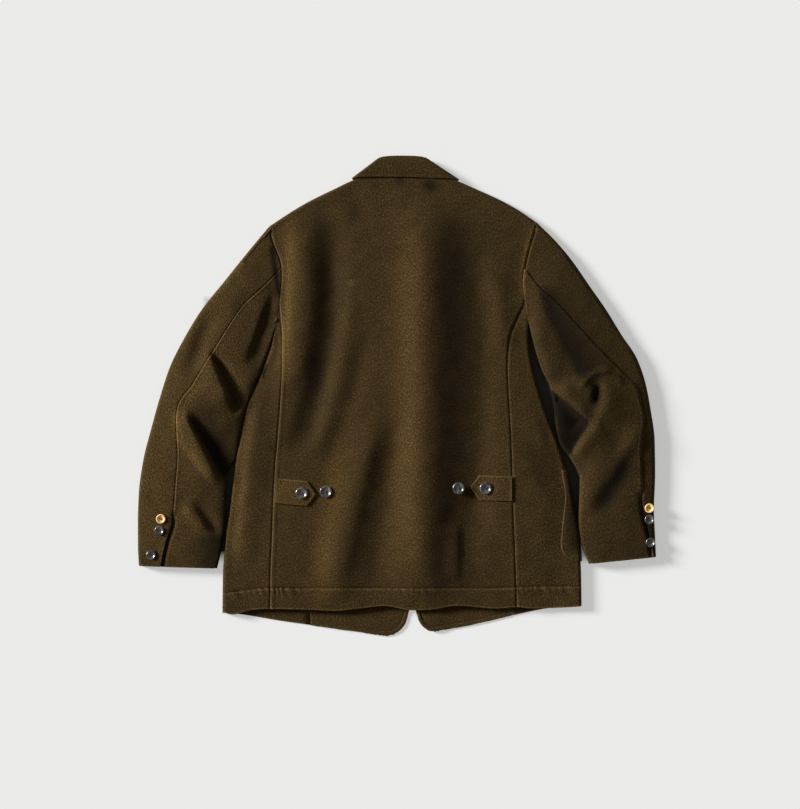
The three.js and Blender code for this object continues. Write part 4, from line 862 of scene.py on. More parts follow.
class SleeveForm:
    """The laid form of one sleeve: its outlines, its crown and its folds.

    The easings are shares along the sleeve over which it leaves the body's edge, height and armhole curve.
    """

    edge_ease: float = 0.08
    height_ease: float = 0.14
    bow_ease: float = 0.2
    shoulder_way: tuple[float, float] = (0.65, 0.76)

    def __init__(
        self,
        side: Side,
        rows: Sequence[Sequence[float]],
        armhole: Sequence[Sequence[float]],
        folds: Sequence[Fold],
    ) -> None:
        """Fits a curve to each column of a sleeve's tables.

        Args:
            side: the sleeve's side.
            rows: its outlines, seam and crown.
            armhole: how its armhole bows.
            folds: its folds.
        """
        self.side = side
        at = column(rows, 0)
        self.out_x, self.out_y, self.in_x, self.in_y, self.seam, self.rise = (
            Track(at, column(rows, n)) for n in range(1, 7)
        )
        self.beside, self.own_in_x = BODY.edge(side), self.in_x
        self.in_x = self.inner
        down = column(armhole, 0)
        self.bows = {Face.UPPER: Track(down, column(armhole, 1)), Face.LOWER: Track(down, column(armhole, 2))}
        self.folds = folds

    def inner(self, at: Array) -> Array:
        """Returns x of the inner outline, which keeps clear of the body's."""
        clear = BESIDE * smooth(at / self.edge_ease)
        side = self.side.value
        return side * np.maximum(side * self.own_in_x(at), side * self.beside(self.in_y(at)) + clear)

    def frame(self, at: Array) -> tuple[Array, Array, Array, Array, Array]:
        """Works out the outer point, the direction from the inner point to it, and the width.

        Args:
            at: shares along the sleeve.

        Returns:
            x and y of the point, x and y of the direction, and the width.
        """
        ox, oy = self.out_x(at), self.out_y(at)
        dx, dy = ox - self.in_x(at), oy - self.in_y(at)
        width = np.hypot(dx, dy)
        return ox, oy, dx / width, dy / width, width

    def plan(self, at: Array, across: Array, face: Face) -> tuple[Array, Array]:
        """Works out plan points of the flat part of a face.

        Args:
            at: shares along the sleeve.
            across: shares across.
            face: the face.

        Returns:
            x and y of each point.
        """
        ox, oy, cx, cy, width = self.frame(at)
        bow = (1 - smooth(at / self.bow_ease)) * self.bows[face](across)
        turn = -self.side.value
        return ox - cx * across * width + turn * cy * bow, oy - cy * across * width - turn * cx * bow

    def top(self, at: Array, across: Array) -> Array:
        """Works out the height of the upper face.

        Args:
            at: shares along the sleeve.
            across: shares across.

        Returns:
            The heights.
        """
        x, y = self.plan(at, across, Face.UPPER)
        crown = self.rise(at) * np.sqrt(np.maximum(0, 4 * across * (1 - across)))
        own = np.maximum(EDGE_HEIGHT + crown + folded(self.folds, x, y), LEAST_TOP)
        return lerp(BODY.top(x, y), own, smooth(at / self.height_ease))

    def outline_normal(self, at: Array, outward: int) -> tuple[Array, Array]:
        """Works out the direction away from the sleeve at its outer (1) or inner (-1) outline.

        Args:
            at: shares along the sleeve.
            outward: 1 for the outer outline and -1 for the inner one.

        Returns:
            x and y of each direction.
        """
        step = 0.01
        x, y = (self.out_x, self.out_y) if outward > 0 else (self.in_x, self.in_y)
        low, high = np.maximum(0, at - step), np.minimum(1, at + step)
        run_x, run_y = unit(x(high) - x(low), y(high) - y(low))
        sign = self.side.value * outward
        nx, ny = -run_y * sign, run_x * sign
        if outward < 0:
            return nx, ny
        share = smooth(at / self.edge_ease)
        way_x, way_y = self.shoulder_way
        return unit(lerp(self.side.value * way_x, nx, share), lerp(way_y, ny, share))

    @staticmethod
    def turn(outward: int) -> float:
        """Returns the reach of the turn at the outer (1) or inner (-1) edge."""
        return EDGE_TURN if outward > 0 else INNER_TURN

    def edge(self, at: Array, angle: Array, outward: int) -> Array:
        """Works out points round the turn of an edge: angle is 90 degrees on top and -90 below, in radians.

        Args:
            at: shares along the sleeve.
            angle: 90 degrees on top and -90 below, in radians.
            outward: 1 for the outer edge and -1 for the inner one.

        Returns:
            A point for each place.
        """
        ox, oy, cx, cy, width = self.frame(at)
        turn = self.turn(outward)
        start = turn / width if outward > 0 else 1 - turn / width
        half = self.top(at, start) / 2
        nx, ny = self.outline_normal(at, outward)
        ix, iy = -nx, -ny
        x, y = (ox, oy) if outward > 0 else (self.in_x(at), self.in_y(at))
        if outward < 0:
            share = 1 - smooth(at / self.edge_ease)
            ix, iy = unit(lerp(ix, cx, share), lerp(iy, cy, share))
        inset = turn * (1 - np.cos(angle))
        return np.stack([x + ix * inset, y + iy * inset, half * (1 + np.sin(angle))], axis=-1)

    def flat(self, at: Array, across: Array, face: Face) -> Array:
        """Returns points of the flat part of a face."""
        x, y = self.plan(at, across, face)
        z = self.top(at, across) if face is Face.UPPER else np.zeros_like(x)
        return np.stack([x, y, z], axis=-1)


LEFT_SLEEVE = SleeveForm(Side.LEFT, LEFT_SLEEVE_ROWS, LEFT_ARMHOLE, LEFT_SLEEVE_FOLDS)
RIGHT_SLEEVE = SleeveForm(Side.RIGHT, RIGHT_SLEEVE_ROWS, RIGHT_ARMHOLE, RIGHT_SLEEVE_FOLDS)
# Where the body's seams meet the armholes and where the inseam lies, as shares of the way across a sleeve
BACK_MARK = {Side.LEFT: lerp(0.43, 1, 0.64), Side.RIGHT: lerp(0.49, 1, 0.64)}
FRONT_MARK = 0.78
INSEAM_MARK = 0.68


def sleeve_of(side: Side) -> SleeveForm:
    """Returns the form of one side's sleeve."""
    return LEFT_SLEEVE if side is Side.LEFT else RIGHT_SLEEVE


def clustered(start: float, end: float, count: int, near: float = 0.35) -> Array:
    """Returns values from start to end, closer together near both ends.

    Args:
        start: the first value.
        end: the last value.
        count: how many steps.
        near: how strongly the steps shrink at the ends, from 0 to 1.

    Returns:
        One more value than there are steps.
    """
    t = np.linspace(0, 1, count + 1)
    return start + (end - start) * (t - near * np.sin(2 * math.pi * t) / (2 * math.pi))


def runs(*parts: Array) -> Array:
    """Returns runs of values joined, where each starts with the last value of the one before."""
    return np.concatenate([parts[0], *[part[1:] for part in parts[1:]]])


def by_column(u: Array, first: Array, second: Array, third: Array) -> Array:
    """Returns the first points at columns below 1, the second ones up to 2 and the third ones past it."""
    return np.where((u < 1)[:, None], first, np.where((u <= 2)[:, None], second, third))


@dataclass(frozen=True)
class Seam:
    """How cloth dips into a seam and swells beside it, in millimetres."""

    depth: float = 1.5
    groove: float = 1.7
    welt: float = 0.0
    welt_reach: float = 9.0

    def at(self, distance: Array) -> Array:
        """Returns the height that the seam adds at distances from it."""
        dip = self.depth * np.exp(-((distance / self.groove) ** 2))
        rise, fall = 2.0, 4.0
        swell = self.welt * smooth(distance / rise) * smooth((self.welt_reach - distance) / fall)
        return swell - dip


@dataclass(frozen=True)
class StitchLine:
    """A row of stitches that draws a narrow furrow in the cloth, in millimetres."""

    depth: float = 0.55
    furrow: float = 1.3

    def at(self, distance: Array) -> Array:
        """Returns the height that the furrow adds at distances from it."""
        return -self.depth * np.exp(-((distance / self.furrow) ** 2))


@dataclass(frozen=True)
class Ripples:
    """Small irregular waves that all soft cloth has, as a few crossing sine waves."""

    size: float = 0.14
    steepness: float = 1 / 40
    stretch: float = 2.7
    waver: float = 1.3
    # Length, heading and phase of each wave
    waves: tuple[tuple[float, float, float], ...] = (
        (47.0, 0.3, 0.0), (39.0, 1.9, 1.3), (29.0, 2.6, 4.1), (23.0, 0.9, 2.2), (17.0, 1.5, 5.0),
        (61.0, 1.2, 3.3),
    )

    def at(self, x: Array, y: Array) -> Array:
        """Returns the height of the ripples at plan points."""
        total = np.zeros_like(np.asarray(x, float))
        for length, heading, phase in self.waves:
            along = (x * math.cos(heading) + y * math.sin(heading)) * 2 * math.pi / length
            across = (y * math.cos(heading) - x * math.sin(heading)) * 2 * math.pi / (length * self.stretch)
            waver = self.waver * np.sin(across + phase)
            total = total + length * self.steepness * np.sin(along + phase + waver)
        return self.size * total


@dataclass(frozen=True)
class Puckers:
    """Short slanting ripples that a row of stitches gathers in a turned hem, in millimetres."""

    height: float = 0.6
    pitch: float = 11.0
    slant: float = 0.3
    reach: float = 22.0
    waver: float = 2.2
    above: float = 2.0
    # Size, length and phase of the waves that push the puckers to and fro, and of those that gather them
    sways: tuple[tuple[float, float, float], ...] = ((0.9, 17.0, 0.0), (0.8, 7.3, 1.7), (0.7, 29.0, 0.4))
    gathers: tuple[tuple[float, float, float], ...] = ((0.9, 37.0, 1.1), (0.5, 15.0, 0.0))
    gathered: float = 0.35

    def at(self, along: Array, above_hem: Array) -> Array:
        """Works out the height of the puckers by place along a hem and height above it.

        Args:
            along: places along the hem.
            above_hem: how far above its edge.

        Returns:
            The heights.
        """
        below = HEM_TURN - above_hem
        phase = (along + self.slant * above_hem) / self.pitch * 2 * math.pi
        sway, gather = (
            sum(size * np.sin(along / length + start) for size, length, start in waves)
            for waves in (self.sways, self.gathers)
        )
        patches = np.clip(self.gathered + gather, 0, 1)
        mask = smooth((self.reach - below) / self.reach) * smooth((below + self.above) / (2 * self.above))
        return self.height * mask * np.sin(phase + self.waver * sway) * patches


RIPPLES = Ripples()
HEM_PUCKERS = Puckers()
HEM_STITCH = StitchLine(depth=1.2, furrow=1.3)
HEM_TURN = 36.0
HEM_LINE_ROWS = ((-362, -331), (-320, -328), (-280, -322), (-208, -314.2), (136, -314.2), (240, -311.5))
HEM_LINE = Track(column(HEM_LINE_ROWS, 0), column(HEM_LINE_ROWS, 1))


def hem_relief(x: Array, y: Array) -> Array:
    """Returns the stitch line and the puckers of the body's hem."""
    above = y - HEM_LINE(x)
    return HEM_STITCH.at(above) + HEM_PUCKERS.at(x, above + HEM_TURN)


def hem_painted_shading(x: Array, y: Array) -> Array:
    """Works out the painted shade and painted highlights at the stitches, puckers and edge of the body's hem.

    Args:
        x: places across.
        y: places up.

    Returns:
        Less than 0 where it is darker.
    """
    above, below_line = y - HEM_LINE(x), 2.8
    # Painted shade in the stitch line, painted highlights just below it and along the hem's edge, and painted
    # light and shade that follow the puckers
    stitched = -0.5 * np.exp(-((above / 1.2) ** 2))
    painted_highlight_below_line = 0.9 * np.exp(-(((above + below_line) / 1.4) ** 2))
    edge = 0.8 * np.exp(-(((y - BODY.back_hem(x)) / 1.6) ** 2))
    return painted_highlight_below_line + stitched + edge + HEM_PUCKERS.at(x, above + HEM_TURN)


@dataclass
class ClothPiece:
    """One cut piece of cloth: a thin shell over a grid of points.

    A piece's own class gives its grid and says where its points lie.
    """

    material: bpy.types.Material
    nodes: tuple[str, ...] = ()
    flat: tuple[float, float] = (0.1, 0.1)
    area: float = 0.01
    thickness: float = CLOTH
    outward: tuple[float, float, float] = (0.0, 0.0, 1.0)
    held: str = "laid"
    # Painted shade and painted highlights for the piece's upper face
    nap: tuple[Fold, ...] = BODY_PAINTED_SHADING
    hemmed: bool = False
    # How far the lighter edges reach, which are partly rubbing and partly painted highlight
    worn_and_highlit_reach: float = 2.2

    @property
    def name(self) -> str:
        """Returns the object's name."""
        return f"{self.nodes[0]}_cloth"

    def grid(self) -> tuple[Array, Array]:
        """Returns the values of the grid's columns and rows."""
        raise NotImplementedError

    def lay(self, u: Array, v: Array) -> Array:
        """Returns the points of the outer face at columns and rows, in millimetres."""
        raise NotImplementedError

    def measure(self, points: Array) -> tuple[Array, Array, Array]:
        """Works out how far each point lies along the cloth.

        Args:
            points: the grid of points.

        Returns:
            The distance across, the distance along, and how near each point is to the cloth's edge.
        """
        steps_u = np.linalg.norm(np.diff(points, axis=0), axis=-1)
        steps_v = np.linalg.norm(np.diff(points, axis=1), axis=-1)
        run_u = np.concatenate([np.zeros((1, points.shape[1])), np.cumsum(steps_u, axis=0)])
        run_v = np.concatenate([np.zeros((points.shape[0], 1)), np.cumsum(steps_v, axis=1)], axis=1)
        near = np.minimum(np.minimum(run_u, run_u[-1:] - run_u), np.minimum(run_v, run_v[:, -1:] - run_v))
        middle = points.shape[0] // 2
        # Lighter towards the edges, partly rubbing and partly painted highlight
        worn_and_highlit = np.exp(-((near / self.worn_and_highlit_reach) ** 2))
        return run_u - run_u[middle], np.broadcast_to(run_v[middle], run_v.shape), worn_and_highlit

    def build(self) -> bpy.types.Object:
        """Returns:
            The finished object.
        """
        columns, rows = self.grid()
        across, along = len(columns) - 1, len(rows) - 1
        mesh = bmesh.new()
        bmesh.ops.create_grid(mesh, x_segments=across, y_segments=along, size=0.5)
        mesh.verts.ensure_lookup_table()
        plan = np.array([vert.co[:2] for vert in mesh.verts])
        i = np.rint((plan[:, 0] + 0.5) * across).astype(int)
        j = np.rint((plan[:, 1] + 0.5) * along).astype(int)
        grid_u, grid_v = np.meshgrid(columns, rows, indexing="ij")
        points = self.lay(grid_u.ravel(), grid_v.ravel()).reshape(across + 1, along + 1, 3)
        run_u, run_v, worn_and_highlit = self.measure(points)
        grain = mesh.verts.layers.float_vector.new("grain")
        edge = mesh.verts.layers.float.new("worn_and_highlit")
        painted_shading_attr = mesh.verts.layers.float.new("nap")
        x, y, z = np.moveaxis(points, -1, 0)
        # Painted shade and painted highlights on the upper face: below 0 the cloth is drawn darker, above 0
        # lighter
        nap = np.where(z > PAINTED_SHADING_ABOVE, folded(self.nap, x, y) + (hem_painted_shading(x, y) if self.hemmed else 0.0), 0.0)
        for vert, a, b in zip(mesh.verts, i, j):
            vert.co = Vector(points[a, b]) * MM
            vert[grain] = Vector((run_u[a, b], run_v[a, b], 0.0)) * MM
            vert[edge] = worn_and_highlit[a, b]
            vert[painted_shading_attr] = nap[a, b]
        mesh.normal_update()
        centre = Vector(points[across // 2, along // 2]) * MM
        nearest = min(mesh.faces, key=lambda face: (face.calc_center_median() - centre).length)
        if nearest.normal.dot(Vector(self.outward)) < 0:
            bmesh.ops.reverse_faces(mesh, faces=mesh.faces)
        piece = add_object(self.name, mesh, self.material)
        wall = piece.modifiers.new("wall", "SOLIDIFY")
        wall.thickness = self.thickness * MM
        wall.offset = -1
        self.declare(piece)
        LOG.info("%s: %d by %d cells", self.name, across, along)
        return piece

    def declare(self, piece: bpy.types.Object) -> None:
        """Hangs the piece on the root and hides the nodes that it stands for.

        Args:
            piece: the finished object.
        """
        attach(piece, "root")
        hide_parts(*self.nodes)


def add_object(name: str, mesh: bmesh.types.BMesh, *materials: bpy.types.Material) -> bpy.types.Object:
    """Turns a bmesh into an object with smooth faces and the given materials.

    Args:
        name: the object's name.
        mesh: its mesh, which is used up.
        materials: what it is made of.

    Returns:
        The object.
    """
    data = bpy.data.meshes.new(name)
    mesh.to_mesh(data)
    mesh.free()
    data.shade_smooth()
    for material in materials:
        data.materials.append(material)
    piece = bpy.data.objects.new(name, data)
    bpy.context.scene.collection.objects.link(piece)
    return piece


def fit_patch(left: Line, right: Line, bottom: Line, top: Line) -> Place:
    """Fills four lines that meet at their ends.

    Args:
        left: runs upwards.
        right: runs upwards.
        bottom: runs from left to right.
        top: runs from left to right.

    Returns:
        A function from shares across and up to plan points.
    """

    def plan(u: Array, v: Array) -> Array:
        """Returns plan points at shares across and up."""
        us, vs = u[:, None], v[:, None]
        across = lerp(left(v), right(v), us)
        along = lerp(bottom(u), top(u), vs)
        zero, one = np.zeros(1), np.ones(1)
        corners = lerp(lerp(bottom(zero), bottom(one), us), lerp(top(zero), top(one), us), vs)
        return across + along - corners

    return plan


def back_seam(side: Side, count: int = 60) -> Array:
    """Works out plan points of a back seam from the hem up to the armhole.

    Args:
        side: the side.
        count: how many points.

    Returns:
        Rows of x and y.
    """
    form = sleeve_of(side)
    top_x, top_y = form.plan(np.zeros(1), np.array([BACK_MARK[side]]), Face.UPPER)
    number = 2 if side is Side.LEFT else 3
    curve = Track([*column(BODY_LEVELS, 0), top_y[0]], [*column(BODY_LEVELS, number), top_x[0]])
    y = np.linspace(BODY.back_hem(curve(BODY_LEVELS[0][0])), top_y[0], count)
    return np.stack([curve(y), y], axis=-1)


def front_seam(side: Side, count: int = 60) -> Array:
    """Works out plan points of a side seam on the lower face from the hem up to the armhole.

    Args:
        side: the side.
        count: how many points.

    Returns:
        Rows of x and y.
    """
    form = sleeve_of(side)
    top_x, top_y = form.plan(np.zeros(1), np.array([FRONT_MARK]), Face.LOWER)
    number = 1 if side is Side.LEFT else 2
    curve = Track([*column(LOWER_SEAMS, 0), top_y[0]], [*column(LOWER_SEAMS, number), top_x[0]])
    y = np.linspace(BODY.front_hem(curve(LOWER_SEAMS[0][0])), top_y[0], count)
    return np.stack([curve(y), y], axis=-1)


def armhole_line(side: Side, start: float, face: Face, count: int = 40) -> Array:
    """Works out plan points of an armhole from a share down it up to the turn of the shoulder.

    Args:
        side: the side.
        start: the first share of the way down.
        face: the face.
        count: how many points.

    Returns:
        Rows of x and y.
    """
    form = sleeve_of(side)
    width = form.frame(np.zeros(1))[4][0]
    across = np.linspace(start, EDGE_TURN / width, count)
    x, y = form.plan(np.zeros(count), across, face)
    end = form.edge(np.zeros(1), np.array([math.pi / 2]), 1)[0]
    x[-1], y[-1] = end[0], end[1]
    return np.stack([x, y], axis=-1)


@dataclass
class BackPanel(ClothPiece):
    """The one-piece back, from the hem to the turn of the shoulders."""

    nodes: tuple[str, ...] = ("back",)
    hemmed: bool = True
    flat: tuple[float, float] = (0.483, 0.735)
    area: float = 0.275
    cells_across: int = 150
    cells_up: int = 250
    cells_over: int = 6
    outline_points: int = 120
    seam: Seam = Seam(welt=0.55)
    right_seam: Seam = Seam(welt=0.2)

    def __post_init__(self) -> None:
        """Sets out the back's four lines."""
        self.left, self.right = (
            Line(np.concatenate([back_seam(side), armhole_line(side, BACK_MARK[side], Face.UPPER)[1:]]))
            for side in (Side.LEFT, Side.RIGHT)
        )
        hem_x = np.linspace(self.left.points[0, 0], self.right.points[0, 0], self.outline_points)
        bottom = Line(np.stack([hem_x, BODY.back_hem(hem_x)], axis=-1))
        self.top_x = np.linspace(SHOULDER_LEFT[0], SHOULDER_RIGHT[0], self.outline_points)
        top = BODY.turn_start(BODY.top_line, self.top_x)
        top[0], top[-1] = self.left.points[-1], self.right.points[-1]
        self.patch = fit_patch(self.left, self.right, bottom, Line(top))
        self.top_shares = Line(top).shares

    def grid(self) -> tuple[Array, Array]:
        """Returns columns from seam to seam, and rows to 1 at the turn of the shoulders and to 2 over it."""
        rows = runs(clustered(0, 1, self.cells_up, 0.5), np.linspace(1, 2, self.cells_over + 1))
        return clustered(0, 1, self.cells_across, 0.6), rows

    def lay(self, u: Array, v: Array) -> Array:
        """Works out points of the upper face.

        Args:
            u: columns.
            v: rows.

        Returns:
            The points.
        """
        flat_v = np.minimum(v, 1.0)
        plan = self.patch(u, flat_v)
        x, y = plan[:, 0], plan[:, 1]
        width = np.hypot(*(self.right(flat_v) - self.left(flat_v)).T)
        z = BODY.top(x, y) + RIPPLES.at(x, y) + hem_relief(x, y)
        z = z + self.seam.at(u * width) + self.right_seam.at((1 - u) * width)
        points = np.stack([x, y, z], axis=-1)
        over = v > 1.0
        angle = (1 - (v - 1)) * math.pi / 2
        along = np.interp(u, self.top_shares, self.top_x)
        for side in Side:
            mine = over & ((along < FRONT_LINE) == (side is Side.LEFT))
            points[mine] = BODY.turned(along[mine], BODY.top_line, angle[mine], side, Face.UPPER)
        return points


@dataclass
class SidePanel(ClothPiece):
    """A side panel, round the side from the back's seam to the front's."""

    side: Side = Side.LEFT
    hemmed: bool = True
    cells_above: int = 36
    cells_round: int = 12
    cells_below: int = 10
    cells_up: int = 176
    hem_at: float = 290.0
    relief_end: float = 1 / 8
    drawn: float = 0.1
    seam: Seam = Seam()

    def __post_init__(self) -> None:
        """Finds the panel's seams."""
        self.form = sleeve_of(self.side)
        self.back = Line(back_seam(self.side))
        self.front = Line(front_seam(self.side))
        self.base = np.array([self.form.in_x(0.0), self.form.in_y(0.0)])

    def grid(self) -> tuple[Array, Array]:
        """Returns columns 0 to 1 above, 1 to 2 round the side and 2 to 3 below, and rows up the panel."""
        above, below = clustered(0, 1, self.cells_above, 0.5), np.linspace(2, 3, self.cells_below + 1)
        columns = runs(above, np.linspace(1, 2, self.cells_round + 1), below)
        return columns, clustered(0, 1, self.cells_up, 0.5)

    def around(self, y: Array, share: Array) -> Array:
        """Works out points round the turn of the side at heights: share 0 on top and 1 below.

        Args:
            y: places up.
            share: 0 on top and 1 below.

        Returns:
            The points.
        """
        edge = BODY.edge(self.side)(y)
        angle = (0.5 - share) * math.pi
        turn_x = edge - self.side.value * EDGE_TURN
        x = edge - self.side.value * EDGE_TURN * (1 - np.cos(angle))
        high = BODY.top(turn_x, y)
        low = BODY.floor(self.side, turn_x, y)
        return np.stack([x, y, low + (high - low) / 2 * (1 + np.sin(angle))], axis=-1)

    def ring(self, u: Array) -> Array:
        """Works out points of the armhole at the panel's columns.

        Args:
            u: columns.

        Returns:
            A point for each column.
        """
        zero = np.zeros_like(u)
        width = self.form.frame(zero)[4]
        mark = BACK_MARK[self.side]
        end = 1 - self.form.turn(-1) / width
        upper = self.form.flat(zero, lerp(mark, end, np.clip(u, 0, 1)), Face.UPPER)
        turned = self.form.edge(zero, (0.5 - np.clip(u - 1, 0, 1)) * math.pi, -1)
        lower = self.form.flat(zero, lerp(end, FRONT_MARK, np.clip(u - 2, 0, 1)), Face.LOWER)
        return by_column(u, upper, turned, lower)

    def plain(self, u: Array, v: Array) -> Array:
        """Works out points of the panel before its top is drawn to the armhole.

        Args:
            u: columns.
            v: rows.

        Returns:
            The points.
        """
        side = self.side.value
        back, front = self.back(v), self.front(v)
        rim_y = lerp(BODY.back_hem(side * self.hem_at), self.base[1], v)
        turn_x = BODY.edge(self.side)(rim_y) - side * EDGE_TURN
        share = np.clip(u, 0, 1)
        x = lerp(back[:, 0], turn_x, share)
        y = lerp(BODY.back_hem(x), lerp(self.back.points[-1, 1], self.base[1], share), v)
        relief = RIPPLES.at(x, y) + hem_relief(x, y)
        above = np.stack([x, y, BODY.top(x, y) + relief * smooth((1 - share) / self.relief_end)], axis=-1)
        turn = np.clip(u - 1, 0, 1)
        hem = lerp(BODY.back_hem(turn_x), BODY.front_hem(turn_x), turn)
        round_side = self.around(lerp(hem, self.base[1], v), turn)
        share = np.clip(u - 2, 0, 1)
        x = lerp(turn_x, front[:, 0], share)
        y = lerp(BODY.front_hem(x), lerp(self.base[1], self.front.points[-1, 1], share), v)
        below = np.stack([x, y, BODY.floor(self.side, x, y)], axis=-1)
        return by_column(u, above, round_side, below)

    def lay(self, u: Array, v: Array) -> Array:
        """Works out points of the panel's outer face.

        Args:
            u: columns.
            v: rows.

        Returns:
            The points.
        """
        points = self.plain(u, v)
        draw = smooth((v - 1 + self.drawn) / self.drawn)[:, None]
        points = points + draw * (self.ring(u) - self.plain(u, np.ones_like(v)))
        points[:, 2] += np.where(u < 1, self.seam.at(np.abs(points[:, 0] - self.back(v)[:, 0])), 0.0)
        return points


@dataclass
class FrontPanel(ClothPiece):
    """A front on the lower face, with its turned shoulder and its rounded lower corner."""

    side: Side = Side.LEFT
    outward: tuple[float, float, float] = (0.0, 0.0, -1.0)
    cells_across: int = 64
    cells_up: int = 140
    cells_over: int = 6
    corner_radius: float = 24.0
    foot: float = -18.0
    turned_edge: float = 6.0
    slant: float = 34.0
    slant_reach: float = 170.0
    slant_curve: float = 1.6
    neck_end: float = 354.0
    outline_points: int = 100
    rim_points: int = 560
    edge_height: float = 0.9
    edge_ease: float = 1.6
    furrow: StitchLine = StitchLine(depth=0.5, furrow=0.9)

    def __post_init__(self) -> None:
        """Sets out the front's four lines."""
        side = self.side
        armhole = armhole_line(side, FRONT_MARK, Face.LOWER)
        self.armside = Line(np.concatenate([front_seam(side), armhole[1:]]))
        shoulder = SHOULDER_LEFT if side is Side.LEFT else SHOULDER_RIGHT
        self.top_x = np.linspace(shoulder[0], self.edge_x(self.neck_end), self.outline_points)
        top = BODY.turn_start(self.outline, self.top_x)
        top[0] = self.armside.points[-1]
        centre = self.centre(top[-1, 1])
        top[-1] = centre[-1]
        hem_x = np.linspace(self.armside.points[0, 0], centre[0, 0], self.outline_points)
        bottom = np.stack([hem_x, BODY.front_hem(hem_x)], axis=-1)
        bottom[-1] = centre[0]
        outline = Line(np.concatenate([bottom, centre[1:]]))
        self.rim = outline(np.linspace(0, 1, self.rim_points))
        self.patch = fit_patch(self.armside, Line(centre), Line(bottom), Line(top))
        self.top_shares = Line(top).shares

    def centre(self, top_y: float) -> Array:
        """Works out plan points of the front edge from the hem up.

        Args:
            top_y: where it ends.

        Returns:
            Rows of x and y.
        """
        hem_y = float(BODY.front_hem(self.foot))
        rise = self.corner_radius * (1 - np.cos(np.linspace(0, math.pi / 2, 9)))
        y = hem_y + np.concatenate([rise, np.linspace(self.corner_radius, top_y - hem_y, 60)[1:]])
        return np.stack([self.edge_x(y), y], axis=-1)

    def outline(self, x: Array) -> Array:
        """Returns the front's top outline."""
        return BODY.front_top(x, self.side)

    def edge_x(self, y: Array | float) -> Array:
        """Works out the front edge: straight, then cut away and rounded towards the hem.

        Args:
            y: places up.

        Returns:
            x for each y.
        """
        lap = -self.side.value * FRONT_LAP
        up = np.maximum(0, np.asarray(y, float) - BODY.front_hem(self.foot))
        cut = self.slant * np.maximum(0, 1 - up / self.slant_reach) ** self.slant_curve
        corner = np.clip(1 - up / self.corner_radius, 0, 1)
        rounded = self.corner_radius * (1 - np.sqrt(1 - corner**2))
        return FRONT_LINE + lap + self.side.value * (cut + rounded)

    def band(self, plan: Array) -> Array:
        """Works out how much the turned and stitched edge stands up at plan points.

        Args:
            plan: rows of x and y.

        Returns:
            A height for each row.
        """
        away = np.full(len(plan), np.inf)
        for point in self.rim:
            away = np.minimum(away, np.hypot(*(plan - point).T))
        least, past_edge = 0.4, 0.6
        step = smooth((self.turned_edge - away) / self.edge_ease) * smooth(away / self.edge_ease + least)
        return self.edge_height * step + self.furrow.at(away - self.turned_edge - past_edge)

    def grid(self) -> tuple[Array, Array]:
        """Returns columns from side seam to front edge, and rows to 1 at the shoulder and to 2 over it."""
        rows = runs(clustered(0, 1, self.cells_up, 0.7), np.linspace(1, 2, self.cells_over + 1))
        return clustered(0, 1, self.cells_across, 0.5), rows

    def lay(self, u: Array, v: Array) -> Array:
        """Works out points of the lower face.

        Args:
            u: columns.
            v: rows.

        Returns:
            The points.
        """
        plan = self.patch(u, np.minimum(v, 1.0))
        x, y = plan[:, 0], plan[:, 1]
        points = np.stack([x, y, BODY.floor(self.side, x, y) + self.band(plan)], axis=-1)
        over = v > 1.0
        angle = (1 - (v - 1)) * math.pi / 2
        along = np.interp(u, self.top_shares, self.top_x)
        points[over] = BODY.turned(along[over], self.outline, angle[over], self.side, Face.LOWER)
        return points


@dataclass(frozen=True)
class Vent:
    """The open end of a cuff's hind seam, in millimetres and in shares along the sleeve."""

    start: float = 0.81
    ease: float = 0.05
    drop: float = 4.0
    reach: float = 11.0
    lip: float = 0.7

    def open(self, at: Array) -> Array:
        """Returns how far the vent is open at shares along the sleeve."""
        return smooth((at - self.start) / self.ease)

    def under(self, at: Array, distance: Array) -> Array:
        """Returns how the under sleeve sinks beside the vent's edge."""
        return -self.open(at) * self.drop * smooth((self.reach - distance) / self.reach)

    def over(self, at: Array, distance: Array) -> Array:
        """Returns how the upper sleeve's free edge stands up."""
        return self.open(at) * self.lip * smooth((self.reach - distance) / self.reach)


@dataclass
class SleevePanel(ClothPiece):
    """What the two pieces of a sleeve share."""

    side: Side = Side.LEFT
    cells_above: int = 40
    cells_round: int = 12
    cells_below: int = 10
    cells_along: int = 190
    # The sleeves take their painted shade and painted highlights
    nap: tuple[Fold, ...] = SLEEVE_PAINTED_SHADING
    length: float = 620.0
    seam: Seam = Seam(depth=1.3, groove=1.3)
    armhole: Seam = Seam(depth=2.4, groove=2.6)
    cuff_stitch: StitchLine = StitchLine(depth=0.5, furrow=1.3)
    cuff_turn: float = 30.0
    relief_start: float = 10.0
    vent: Vent = Vent()

    def __post_init__(self) -> None:
        """Finds the sleeve's form."""
        self.form = sleeve_of(self.side)

    def relief(self, points: Array, at: Array) -> Array:
        """Returns what the armhole seam, the cuff's stitches and the ripples add."""
        stitches = self.cuff_stitch.at((1 - at) * self.length - self.cuff_turn)
        return self.armhole.at(at * self.length) + stitches + RIPPLES.at(points[:, 0], points[:, 1])


